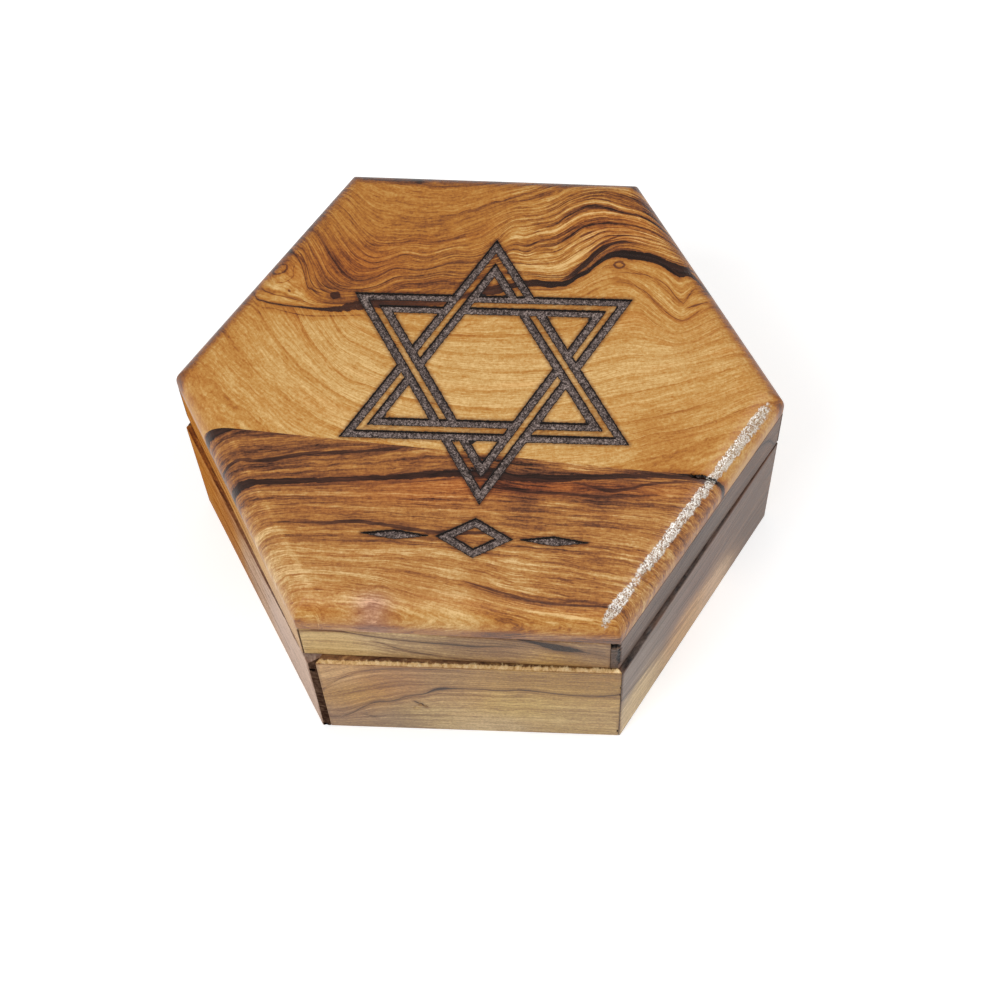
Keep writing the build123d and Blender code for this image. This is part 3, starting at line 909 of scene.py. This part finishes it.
FRONT_VEINS = {
    "black_vein": [
        (-41, -21.4, 0.9), (-39.5, -20.8, 0.9), (-37, -20, 0.8), (-33, -19.7, 0.65), (-28, -19.3, 0.6),
        (-20, -18.7, 0.5), (-15, -18.3, 0.55), (-10, -17.8, 0.65), (-5, -17.2, 0.7), (-1, -17, 0.8),
        (3, -17, 0.8), (6, -17.4, 0.8), (9, -17.6, 0.75), (13, -17.6, 0.75), (17, -17.3, 0.65),
        (21, -16.9, 0.55), (25, -16.6, 0.5), (29, -16.4, 0.45), (33, -16.6, 0.45), (38, -17.1, 0.4),
    ],
    "middle_vein": [
        (-43, -17.2, 0.5), (-41.8, -16.8, 0.5), (-40, -16.3, 0.45), (-37.5, -15.5, 0.4),
        (-35, -15.7, 0.4), (-32.5, -15.4, 0.5), (-30, -14.8, 0.45), (-27, -14.1, 0.45),
        (-22.5, -13.7, 0.4), (-18, -13.4, 0.28), (-14, -12.9, 0.25), (-10, -12.2, 0.2), (-6, -12.2, 0.03),
    ],
    "joint_vein": [
        (-47, -10.8, 0.7), (-44, -10.2, 0.9), (-41, -9.8, 0.7), (-38, -9.5, 0.5), (-35, -9.7, 0.35),
        (-32, -10.1, 0.2), (-30, -10.2, 0.03),
    ],
    "low_vein": [
        (2, -19.2, 0.15), (5, -19.6, 0.25), (10, -20.2, 0.3), (15, -20.3, 0.3), (20, -20.6, 0.3),
        (25, -20.4, 0.25), (30, -20, 0.05),
    ],
    "lens_vein": [
        (16, -18, 0.15), (18, -18.4, 0.25), (20, -18.9, 0.35), (23, -19.4, 0.4), (25.5, -19, 0.35),
        (28, -18.2, 0.3), (31, -17.7, 0.3), (35, -17.4, 0.25), (38, -17.4, 0.1),
    ],
    "fine_vein_a": [
        (-44, -12.9, 0.2), (-43.5, -12.6, 0.2), (-40, -11.5, 0.2), (-35, -10.8, 0.25), (-30, -10.4, 0.2),
        (-27, -10.3, 0.03),
    ],
    "fine_vein_b": [
        (-33, -26.9, 0.05), (-28, -26.9, 0.15), (-22, -26.8, 0.3), (-19, -26.4, 0.4), (-15, -26.6, 0.35),
        (-8, -27.6, 0.4), (-3, -28, 0.45), (2, -27.8, 0.3), (6, -27.6, 0.05),
    ],
    "fine_vein_c": [
        (0, -36.4, 0.1), (2, -37, 0.2), (8, -38.8, 0.25), (14, -39.8, 0.25), (19, -40, 0.2), (24, -40.2, 0.1),
    ],
}
FRONT_TONES = [
    (-35, -12.5, 0.42), (-27, -12, 0.42), (-15, -12, 0.46), (-38, -18, 0.52), (-25, -17, 0.52),
    (-14, -15.2, 0.50), (-8, -15, 0.54), (-33, -24, 0.62), (-20, -23, 0.58), (-25, -27, 0.56),
    (-8, -22, 0.56), (-22, -33, 0.72), (-8, -33, 0.68), (-25, -38, 0.80), (-36, -27, 0.74),
    (-31, -36, 0.86), (-15, -42, 0.86), (0, -43, 0.88), (15, -43, 0.84), (8, -19, 0.28),
    (20, -19.5, 0.34), (25, -18, 0.36), (30, -20, 0.56),
    (15, -24, 0.62), (28, -24, 0.70), (3, -24.5, 0.68), (10, -31, 0.62), (16, -36.5, 0.44), (28, -33, 0.62),
    (5, -15.4, 0.42), (20, -15.2, 0.62), (-35, -31, 0.76), (5, -40.5, 0.64),
]
FRONT_CONTRAST = [
    (-30, -12, 0.35), (-20, -24, 0.30), (0, -24, 0.36), (15, -24, 0.36), (10, -18, 0.5), (-20, -34, 0.26),
    (10, -36, 0.38), (0, -43, 0.12), (25, -33, 0.34),
]


def front_board_fields(points, segments, engraving):
    """The front board's growth lines and veins, its worn patch, a painted highlight along its left crest and
    painted shade on its front face.
    """
    fields = board_fields(points, segments, engraving)
    x, y, z = points.T
    drop = top_z - z
    from_left = face_distance - face_side(x, y, "front_left")
    # Painted highlight: a pale line along the inner edge of the left roundover
    crest_painted_highlight = 0.12 * np.exp(-((from_left - 4.3) / 0.5) ** 2) * (y > -39)
    # Painted shade: the board's vertical front face is drawn darker and greyer
    front_face_painted_shade = np.clip((2 - face_distance - y) / 1.2, 0, 1) * np.clip((drop - 3.4) / 1.2, 0, 1)
    y = y + drop * (0.05 + 0.4 * np.clip((-y - 36) / 6, 0, 1) * (x > -22))
    worn_patch = blob(x, y, -13.9, -40.6, 2.6, 1.7)
    fields["level"] = RING_GAP * layers(FRONT_LINES, x, y)
    fields["tone"] = spread(FRONT_TONES, x, y, 3.0) - 0.3 * front_face_painted_shade + crest_painted_highlight
    fields["contrast"] = spread(FRONT_CONTRAST, x, y)
    fields["grey_and_painted_reflection"] = 0.3 * front_face_painted_shade + 0.6 * worn_patch + 0.1 * np.clip((y + 42) / 3, 0, 1)
    red_streaks = 0.9 * blob(x, y, 10, -19, 22, 1.6) + 0.5 * blob(x, y, -8, -21.5, 14, 2)
    fields["red"] = red_streaks + 0.9 * worn_patch
    for name, line in FRONT_VEINS.items():
        fields[name] = off_line(line, x, y)
    return fields


def is_engraving(edge):
    """Whether an edge of a top board belongs to the engraving."""
    middle = (edge.verts[0].co + edge.verts[1].co) / 2
    inner = middle.xy.length < face_distance - ENGRAVING_MARGIN
    return inner and middle.z > top_z - GROOVE_DEPTH - 0.2


def on_joint(edge):
    """Whether an edge of a top board lies on the glue line."""
    x, y = lid_frame(np.array([v.co[:] for v in edge.verts]))
    line = JOINT_Y + tan(radians(JOINT_ANGLE)) * x
    return np.abs(y - line).max() < 0.05


def engraving_outline(node):
    """The upper edges of the grooves of a top board."""
    bm = node_mesh(node)
    found = []
    for edge in bm.edges:
        ends = [v.co for v in edge.verts]
        outer = max(e.xy.length for e in ends) > face_distance - ENGRAVING_MARGIN
        if outer or min(e.z for e in ends) < top_z - 0.01:
            continue
        if on_joint(edge) or min(abs(f.normal.z) for f in edge.link_faces) > 0.5:
            continue
        found.append(tuple(tuple(e) for e in ends))
    bm.free()
    return found


# Chips and tears of the lid: (x, y, z, radius, depth, darkness)
LID_WEAR = [
    (28.7, -34.3, 39.6, 1.3, 0.55, 0.25),
    (29.8, -32.7, 39.9, 0.8, 0.35, 0.0),
    (27.2, -36.9, 39.4, 0.7, 0.25, 0.0),
    (31.9, -28.7, 40.0, 0.6, 0.2, 0.0),
    (2.6, -15.2, 40.7, 0.6, 0.3, 0.7),
    (0.2, -16.0, 40.7, 0.5, 0.3, 0.7),
    (4.4, -14.2, 40.7, 0.5, 0.3, 0.6),
]
# The open end of the glue line runs over the roundover: (x, z). Its hollows are drawn black as painted shade
# in the gap.
JOINT_GAP = [
    (35.6, 40.7), (36.1, 40.7), (36.6, 40.7), (37.1, 40.6), (37.6, 40.5), (38.1, 40.4), (38.6, 40.2),
    (39.1, 39.9), (39.5, 39.6),
]
LID_WEAR += [(x, JOINT_WORLD_Y + JOINT_SLOPE * x, z, 0.42, 0.5, 1.0) for x, z in JOINT_GAP]
# Chips and tears of the walls, by board
WALL_WEAR = {
    "base_wall_front": [
        (-8.0, -44.15, 10.4, 0.5, 0.25, 0.3), (-7.2, -44.15, 9.7, 0.4, 0.2, 0.3),
        (-8.9, -44.15, 8.9, 0.6, 0.2, 0.0), (25.3, -44.1, 2.0, 0.4, 0.3, 0.8),
        (25.3, -44.1, 19.5, 0.4, 0.3, 0.6), (25.3, -44.1, 16.8, 0.35, 0.3, 0.6),
    ],
    "lid_wall_front_right": [
        (23.6, -43.5, 33.4, 1.0, 0.9, 1.3), (24.3, -43.5, 33.6, 0.8, 0.9, 1.3),
        *((24.8, -43.5, z, 0.6, 0.3, 0.7) for z in (32.2, 31.4, 30.6, 29.8, 29.0, 28.2, 27.4)),
    ],
    "base_wall_front_left": [(-24.9, -44.1, 22.4, 0.6, 0.5, 1.0), (-25.0, -44.1, 0.6, 0.7, 0.4, 1.0)],
}


def top_board(node, fields_of, material, fine):
    """One of the lid's two top boards."""
    points, triangles, segments = dressed_mesh(
        node, LID_CELLS, LID_ARRIS, lambda edge: is_engraving(edge) or on_joint(edge), fine
    )
    fields = fields_of(points, segments, engraving_outline(node))
    points, fields["pit"] = worn(points, triangles, LID_WEAR)
    floor = (fields["groove"] < -0.2) & (top_z - points[:, 2] > 0.9 * GROOVE_DEPTH)
    points[floor, 2] += 0.10 * ripple(points[floor], 0.9) - 0.02
    board = board_object(node, points, triangles, fields, material)
    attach(board, "lid")
    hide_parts(node)


# Wall boards


def wall_frame(points, direction, is_lid):
    """Points as (along the wall, up, into the wood), seen from outside with right as plus."""
    angle = radians(direction + (LID_TURN if is_lid else 0))
    x, y, z = points.T
    if is_lid:
        y = y - LID_SETBACK
    along = -x * sin(angle) + y * cos(angle)
    depth = face_distance - (x * cos(angle) + y * sin(angle))
    return along, z, depth


# Tone, grey and red as (along, height, value), growth lines, lowest first, and veins as (along, height,
# half width). The grey on the side walls is painted reflection.
WALL_LOOKS = {
    "base_front": {
        "tones": [(-20, 12, 0.72), (-12, 18, 0.68), (-22, 22, 0.86), (-5, 21, 0.68), (10, 21, 0.68),
                  (20, 21, 0.66), (5, 12, 0.82), (18, 12, 0.79), (18, 4, 0.82), (-5, 9, 0.80), (-14, 5, 0.70),
                  (0, 2, 0.90)],
        "grey_and_painted_reflection": [(-14, 3, 0.5), (-22, 2, 0.5), (5, 1, 0.4), (-8, 24, 0.3), (8, 12, 0.1), (-18, 14, 0.0),
                 (15, 21, 0.08), (18, 3, 0.25), (-8, 9, 0.3), (-22, 20, 0.3)],
        "red": [(-12, 18, 0.7), (-19, 12, 0.45), (-2, 18, 0.3), (10, 10, 0.0), (12, 21, 0.2), (-8, 6, 0.0)],
        "lines": [
            [(-27, -30), (27, -30)], [(-27, -3), (-15, 0), (0, -1), (27, -2)],
            [(-27, 3), (-22, 3.4), (-18, 4.2), (-12, 5.5), (0, 6), (27, 5)],
            [(-27, 3.8), (-24, 4), (-22, 4.3), (-20, 5.8), (-18, 8.3), (-16, 10.3), (-13, 11.3),
             (-10, 13.5), (-7, 14.8), (-5, 16.5), (-2, 17), (2, 17.2), (6, 17), (9, 17.5), (12, 17),
             (16, 16.2), (20, 16), (23, 16.3), (27, 17)],
            [(-27, 11), (-20, 14), (-12, 19), (-4, 19.5), (10, 19.5), (27, 19)],
            [(-27, 12), (-24, 15), (-22, 18), (-20, 20.3), (-18, 22), (-15, 23.5), (-12, 24), (-6, 24.3),
             (10, 23), (27, 23)],
            [(-27, 30), (27, 28)], [(-27, 45), (27, 45)],
        ],
        "veins": [
            [(-25, 3.9, 0.12), (-22, 4.3, 0.15), (-20, 5.8, 0.18), (-18, 8.3, 0.2), (-16, 10.3, 0.2),
             (-13, 11.3, 0.18), (-10, 13.5, 0.2), (-7, 14.8, 0.22), (-5.4, 16.4, 0.45), (-4.2, 17, 0.5),
             (-2, 17.1, 0.28), (2, 17.2, 0.2), (6, 17, 0.2), (9, 17.5, 0.28), (12, 17, 0.22),
             (16, 16.2, 0.22), (20, 16, 0.22), (23, 16.3, 0.22), (25, 17, 0.25)],
            [(-24.5, 14.6, 0.12), (-22, 18, 0.14), (-20, 20.3, 0.14), (-18, 22, 0.13), (-15, 23.5, 0.13),
             (-12, 24, 0.12), (-6, 24.3, 0.08), (-3, 24.4, 0.03)],
            [(-18.2, 5.6, 0.05), (-17, 5.1, 0.14), (-15.6, 4.2, 0.08)],
            [(-9.2, 11.8, 0.1), (-8.8, 11.4, 0.3), (-8, 10.5, 0.3), (-7.2, 9.7, 0.2), (-6.6, 9.2, 0.05)],
        ],
    },
    "lid_front": {
        "tones": [(-20, 30, 0.92), (-12, 33, 0.88), (-8, 29, 0.74), (3, 33, 0.60), (8, 31, 0.54),
                  (18, 29, 0.62), (20, 33.5, 0.62), (-22, 27, 0.92), (2, 27, 0.64), (12, 27, 0.74),
                  (23, 27, 0.64)],
        "grey_and_painted_reflection": [(-20, 30, 0.18), (0, 31, 0.35), (10, 32, 0.40), (15, 28, 0.05), (21, 33, 0.45),
                 (-12, 34, 0.4)],
        "red": [(0, 30, 0.1), (4, 28, 0.3)],
        "lines": [
            [(-27, 10), (27, 10)], [(-27, 25), (0, 24), (27, 22)],
            [(-27, 30), (-14, 29.5), (-6, 26.5), (27, 24)],
            [(-27, 33.2), (-22, 34.3), (-18, 34.2), (-15, 33.4), (-10, 32.2), (-5, 31.7), (0, 31.3),
             (3, 31.1), (6, 31.4), (12, 30.5), (27, 27)],
            [(-27, 38), (0, 36.5), (6, 35.4), (10, 34.4), (14, 33.8), (19, 31.4), (27, 30)],
            [(-27, 50), (27, 45)],
        ],
        "veins": [
            [(-26, 33.6, 0.14), (-22, 34.3, 0.18), (-18, 34.2, 0.16), (-15, 33.4, 0.16), (-10, 32.2, 0.18),
             (-5, 31.7, 0.2), (0, 31.3, 0.25), (3, 31.1, 0.25), (6, 31.6, 0.15), (9, 32, 0.05)],
            [(2, 35.2, 0.08), (6, 35.2, 0.25), (10, 34.4, 0.35), (12.5, 33.4, 0.6), (14.5, 32.6, 1.0),
             (16.5, 32, 1.1), (18.5, 31.6, 0.7), (20, 31, 0.25), (23, 29.9, 0.15), (25, 29.4, 0.05)],
            [(-14, 31.4, 0.05), (-12, 30.6, 0.12), (-10, 29.2, 0.14), (-6, 27.7, 0.16), (-3, 27.3, 0.08)],
        ],
    },
    # Painted reflection and painted shade: grey for the lacquer's sheen at a grazing angle, and darker tones
    # for this side's shade
    "base_front_right": {
        "tones": [(-22, 20, 0.56), (-10, 18, 0.50), (0, 20, 0.46), (15, 18, 0.38), (20, 8, 0.42),
                  (-20, 6, 0.92), (-5, 6, 0.90), (5, 3, 0.95)],
        "grey_and_painted_reflection": [(-22, 20, 0.95), (-10, 18, 0.95), (0, 20, 0.9), (15, 18, 0.85), (20, 8, 0.75),
                 (-20, 7, 0.35), (-5, 6, 0.3), (8, 4, 0.6)],
        "red": [(-5, 7, 0.6), (18, 14, 0.35), (-20, 15, 0.0), (-18, 5, 0.1)],
        "lines": [
            [(-27, -20), (27, -24)], [(-27, 2), (0, -2), (27, -6)], [(-27, 15), (-25, 14.5), (-15, 11.5),
             (-5, 9), (10, 5), (27, 0)], [(-27, 21), (0, 17), (10, 18), (27, 22)],
            [(-27, 28), (0, 25), (27, 27)], [(-27, 45), (27, 45)],
        ],
        "veins": [
            [(-26, 14.8, 0.2), (-25, 14.5, 0.22), (-15, 11.5, 0.18), (-5, 9, 0.1), (0, 8, 0.03)],
            [(-8, 17.4, 0.1), (-2, 16.6, 0.3), (3, 16.6, 0.2), (8, 17.6, 0.05)],
        ],
    },
    # Painted reflection and painted shade: grey for the lacquer's sheen at a grazing angle, and darker tones
    # for this side's shade
    "lid_front_right": {
        "tones": [(-22, 30, 0.46), (-10, 32, 0.38), (0, 33, 0.34), (8, 31, 0.40), (15, 31, 0.30),
                  (22, 29, 0.40)],
        "grey_and_painted_reflection": [(-22, 30, 0.95), (0, 31, 0.9), (10, 30, 0.85), (17, 33, 0.6), (23, 29, 0.7)],
        "red": [(16, 33, 0.5), (-8, 31, 0.2), (0, 28, 0.1)],
        "lines": [
            [(-27, 10), (27, 12)], [(-27, 25), (0, 24), (27, 26)], [(-27, 30), (-6, 32), (0, 34), (27, 28)],
            [(-27, 35), (27, 36)], [(-27, 50), (27, 48)],
        ],
        "veins": [
            [(-7, 32.4, 0.2), (-4, 33.6, 0.3), (-1, 34.6, 0.4), (1, 34.3, 0.2), (3, 33.6, 0.05)],
            [(16.5, 34.3, 0.25), (18.5, 33.6, 0.4), (20.5, 32, 0.45), (22, 30.2, 0.45), (23.4, 27.6, 0.4),
             (24.4, 25.8, 0.3)],
        ],
    },
    # Painted reflection: paler and greyer towards the front corner, where the wall glares
    "base_front_left": {
        "ramp": WOOD_TONES, "shine": 0.0,
        "tones": [(-22, 18, 0.66), (-15, 12, 0.68), (-10, 22, 0.64), (0, 15, 0.90), (12, 12, 1.0),
                  (20, 16, 1.0)],
        "grey_and_painted_reflection": [(-20, 15, 0.0), (-10, 14, 0.1), (0, 12, 0.75), (12, 12, 1.0), (22, 14, 0.95)],
        "red": [(-24, 15, 0.3), (-14, 12, 0.35), (22, 12, 0.3)],
        "lines": [
            [(-27, -20), (27, -20)], [(-27, 4), (0, 3), (27, 6)], [(-27, 13), (-5, 14), (27, 12)],
            [(-27, 21), (0, 23), (27, 20)], [(-27, 45), (27, 45)],
        ],
        "veins": [[(-20, 9, 0.1), (-8, 10.5, 0.18), (5, 10.2, 0.12), (14, 9, 0.05)]],
    },
    # Painted reflection: paler and greyer towards the front corner, where the wall glares
    "lid_front_left": {
        "ramp": WOOD_TONES, "shine": 0.0,
        "tones": [(-22, 30, 0.68), (-10, 30, 0.74), (0, 30, 0.82), (12, 30, 0.94), (22, 30, 0.98)],
        "grey_and_painted_reflection": [(-20, 30, 0.0), (-4, 30, 0.05), (6, 30, 0.25), (20, 30, 0.5)],
        "red": [(-15, 29, 0.3), (10, 30, 0.2)],
        "lines": [
            [(-27, 10), (27, 12)], [(-27, 26), (0, 27), (27, 25)], [(-27, 31), (0, 32), (27, 31)],
            [(-27, 36), (27, 37)], [(-27, 50), (27, 50)],
        ],
        "veins": [[(-18, 28.6, 0.12), (-6, 29.6, 0.22), (6, 29, 0.1)]],
    },
}

# Walls that the photograph doesn't show: one calm figure, shifted from board to board
PLAIN_WALL = {
    "tones": [(-20, 8, 0.70), (-5, 18, 0.62), (8, 6, 0.76), (18, 20, 0.66), (-12, 30, 0.66), (6, 31, 0.72),
              (22, 30, 0.6)],
    "grey_and_painted_reflection": [(-18, 5, 0.3), (0, 18, 0.1), (18, 10, 0.25), (0, 32, 0.2)],
    "red": [(-10, 16, 0.4), (12, 8, 0.1), (10, 30, 0.3)],
    "lines": [
        [(-27, -20), (27, -20)], [(-27, 2), (-8, 5), (10, 3), (27, 6)],
        [(-27, 9), (-5, 12), (12, 10), (27, 13)],
        [(-27, 18), (-5, 16), (12, 19), (27, 20)], [(-27, 25), (0, 27), (27, 24)],
        [(-27, 31), (0, 33), (27, 32)], [(-27, 50), (27, 50)],
    ],
    "veins": [
        [(-25, 9.5, 0.1), (-12, 11.4, 0.25), (-5, 12.2, 0.35), (6, 10.8, 0.25), (14, 10.6, 0.1),
         (20, 11.6, 0.04)],
        [(-16, 30.4, 0.08), (-4, 32, 0.25), (8, 32.4, 0.3), (20, 31.6, 0.1)],
    ],
}


def wall_look(owner, name):
    """What a wall's figure is made from, and how far along it is shifted."""
    look = WALL_LOOKS.get(f"{owner}_{name}")
    return (look, 0.0) if look else (PLAIN_WALL, 3.0 * list(WALL_DIRECTIONS).index(name))


def wall_fields(points, segments, owner, name, look, shift):
    """A wall's figure, its end grain in the mitres and its rim, darkened on the base with painted shade under
    the lid.
    """
    along, up, depth = wall_frame(points, WALL_DIRECTIONS[name], owner == "lid")
    x = along + shift
    fields = plain_fields(points, along, depth, segments)
    level = WALL_LAYER * layers(look["lines"], x, up)
    fields["level"] = level + 0.35 * depth + 0.25 * (up - 20) + 10 * shift
    fields["tone"] = spread(look["tones"], x, up)
    fields["contrast"] = np.full_like(x, 0.18)
    fields["has_end"] = np.ones_like(x)
    for key in ("grey_and_painted_reflection", "red"):
        fields[key] = np.clip(spread(look[key], x, up), 0, 1)
    if owner == "base":
        # Painted shade: the base's rim is darkened where the lid above shades it
        rim = np.clip(1 - np.abs(up - base_top) / 0.15, 0, 1)
        fields["tone"] -= 0.3 * rim
        if name == "front":
            fields["raw"] = 0.9 * rim * np.clip(1.7 - depth / 0.6, 0, 1)
    for number, vein in enumerate(look["veins"]):
        fields[f"vein_{number}"] = off_line(vein, x, up)
    return fields


def wall_board(owner, name):
    """One mitred wall of the base or the lid."""
    node = f"{owner}_wall_{name}"
    look, shift = wall_look(owner, name)
    wear = WALL_WEAR.get(node, [])
    points, triangles, segments = dressed_mesh(
        node, WALL_CELLS, WALL_ARRIS, fine=[(*spot[:3], spot[3] + 0.3) for spot in wear]
    )
    fields = wall_fields(points, segments, owner, name, look, shift)
    points, fields["pit"] = worn(points, triangles, wear)
    if owner == "base":
        rim = (points[:, 2] > base_top - 0.02) & (point_normals(points, triangles)[:, 2] > 0.4)
        points[rim, 2] -= 0.12 * (1 + ripple(points[rim], 1.1, WALL_DIRECTIONS[name]))
    veins = [f"vein_{number}" for number in range(len(look["veins"]))]
    material = wood(f"wood_{owner}_{name}", veins, gloss=0.45, ring_depth=0.07,
                    tones=look.get("ramp", WALL_TONES), shine=look.get("shine", 0.25))
    board = board_object(node, points, triangles, fields, material)
    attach(board, owner)
    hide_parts(node)


def floor_board():
    """The base's bottom board."""
    node = "base_floor"
    points, triangles, segments = dressed_mesh(node, FLOOR_CELLS, FLOOR_ARRIS)
    x, y, z = points.T
    fields = plain_fields(points, x, z, segments)
    fields["level"] = y + 2.2 * np.sin(x / 13) + 0.02 * x**2 + 0.8 * z
    fields["tone"] = spread([(-25, 10, 0.74), (0, -15, 0.80), (25, 15, 0.70), (0, 20, 0.78)], x, y)
    fields["contrast"] = np.full_like(x, 0.16)
    fields["grey_and_painted_reflection"] = np.full_like(x, 0.1)
    fields["red"] = 0.5 * blob(x, y, 10, 10, 14, 6)
    vein = [(-40, 6, 0.2), (-20, 9, 0.5), (0, 7, 0.8), (20, 10, 0.5), (40, 8, 0.2)]
    fields["vein_0"] = off_line(vein, x, y)
    board = board_object(node, points, triangles, fields, wood("wood_floor", ["vein_0"], gloss=0.5))
    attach(board, "base")
    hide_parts(node)


back_wood = wood(
    "wood_lid_back", ["main_vein", "joint_crack_shade", *BACK_LINES, *BACK_RINGS], engraved=True, two_zones=True
)
front_wood = wood("wood_lid_front", ["joint_crack_shade", *FRONT_VEINS], engraved=True, ring_depth=0.10)
joint_end = (37.6, -16.4, None, 1.8)
edge_chip = (28.9, -34.0, None, 1.4)
top_board("lid_board_back", back_board_fields, back_wood, [joint_end])
top_board("lid_board_front", front_board_fields, front_wood, [joint_end, edge_chip])
for owner in ("base", "lid"):
    for name in WALL_DIRECTIONS:
        wall_board(owner, name)
floor_board()


# Hinges

HINGE_BRASS = {
    "leaf": brass("leaf_brass", (206, 164, 84), (150, 116, 62)),
    "pin": brass("pin_brass", (190, 148, 76), (128, 98, 56)),
    "screws": brass("screw_brass", (214, 174, 98), (140, 108, 60)),
}
for name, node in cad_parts.items():
    if name.startswith("hinge_"):
        node.data.materials.clear()
        node.data.materials.append(HINGE_BRASS[name.rsplit("_", 1)[1]])


# Floor, light and camera


def white_floor():
    """A pale floor that shows white but keeps the box's shadow."""
    bm = bmesh.new()
    bmesh.ops.create_grid(bm, x_segments=24, y_segments=24, size=1.5)
    mesh = bpy.data.meshes.new("floor")
    bm.to_mesh(mesh)
    bm.free()
    floor = bpy.data.objects.new("floor", mesh)
    bpy.context.scene.collection.objects.link(floor)
    net = Net("floor")
    net.feed(net.shader.inputs["Base Color"], linear(235, 235, 235))
    net.shader.inputs["Roughness"].default_value = 0.9
    net.shader.inputs["Specular IOR Level"].default_value = 0.0
    place = net.node("TexCoord").outputs["Object"]
    reach = net.node("VectorMath", place, operation="LENGTH").outputs["Value"]
    glow = net.node("Emission", (1, 1, 1, 1), net.fade(reach, 0.25, 0.9, 0.42, 0.72))
    seen = net.node("LightPath").outputs
    shown = net.math("MAXIMUM", seen["Is Camera Ray"], seen["Is Glossy Ray"])
    shown = net.math("MAXIMUM", shown, seen["Is Transmission Ray"])
    added = net.node("AddShader", net.shader.outputs[0], glow.outputs[0]).outputs[0]
    picked = net.node("MixShader", shown, net.shader.outputs[0], added).outputs[0]
    net.feed(net.tree.nodes["Material Output"].inputs["Surface"], picked)
    mesh.materials.append(net.material)


def sky():
    """White all round to the eye, and a plain soft light on the object."""
    world = bpy.data.worlds.new("studio")
    bpy.context.scene.world = world
    world.use_nodes = True
    nodes, links = world.node_tree.nodes, world.node_tree.links
    light = nodes["Background"]
    light.inputs["Color"].default_value = (1, 1, 1, 1)
    light.inputs["Strength"].default_value = 0.4
    white = nodes.new("ShaderNodeBackground")
    white.inputs["Strength"].default_value = 1.0
    white.inputs["Color"].default_value = (1, 1, 1, 1)
    seen = nodes.new("ShaderNodeLightPath").outputs
    mix = nodes.new("ShaderNodeMixShader")
    links.new(seen["Is Camera Ray"], mix.inputs[0])
    links.new(light.outputs[0], mix.inputs[1])
    links.new(white.outputs[0], mix.inputs[2])
    links.new(mix.outputs[0], nodes["World Output"].inputs["Surface"])


def lamp(name, place, target, size, power, along=(1, 0, 0)):
    """A soft rectangular lamp that faces a target, its long side along a direction, in metres and watts."""
    data = bpy.data.lights.new(name, "AREA")
    data.shape = "RECTANGLE"
    data.size, data.size_y = size
    data.energy = power
    made = bpy.data.objects.new(name, data)
    back = (Vector(place) - Vector(target)).normalized()
    across = back.cross(Vector(along)).normalized()
    turn = Matrix((across.cross(back), across, back)).transposed().to_4x4()
    made.matrix_world = Matrix.Translation(place) @ turn
    bpy.context.scene.collection.objects.link(made)


def camera():
    """The photograph's camera."""
    azimuth, elevation, roll = (radians(a) for a in (CAMERA_AZIMUTH, CAMERA_ELEVATION, CAMERA_ROLL))
    back = Vector((sin(azimuth) * cos(elevation), -cos(azimuth) * cos(elevation), sin(elevation)))
    right = (-back).cross(Vector((0, 0, 1))).normalized()
    up = right.cross(-back)
    tilted_right = right * cos(roll) + up * sin(roll)
    tilted_up = up * cos(roll) - right * sin(roll)
    turn = Matrix((tilted_right, tilted_up, back)).transposed().to_4x4()
    place = (Vector(CAMERA_TARGET) + back * CAMERA_DISTANCE) * MM
    data = bpy.data.cameras.new("camera")
    data.lens = CAMERA_LENS
    data.clip_start = 0.01
    made = bpy.data.objects.new("camera", data)
    made.matrix_world = Matrix.Translation(place) @ turn
    bpy.context.scene.collection.objects.link(made)
    bpy.context.scene.camera = made


bpy.context.scene.view_settings.view_transform = "Standard"
white_floor()
sky()
lamp("key", (-0.42, -0.38, 0.62), (0, 0, 0.02), (0.45, 0.45), 3.6)
lamp("strip", (0.41, 0.05, 0.51), (0.04, -0.02, 0.04), (0.45, 0.09), 1.5, along=(0.74, -0.43, -0.51))
camera()
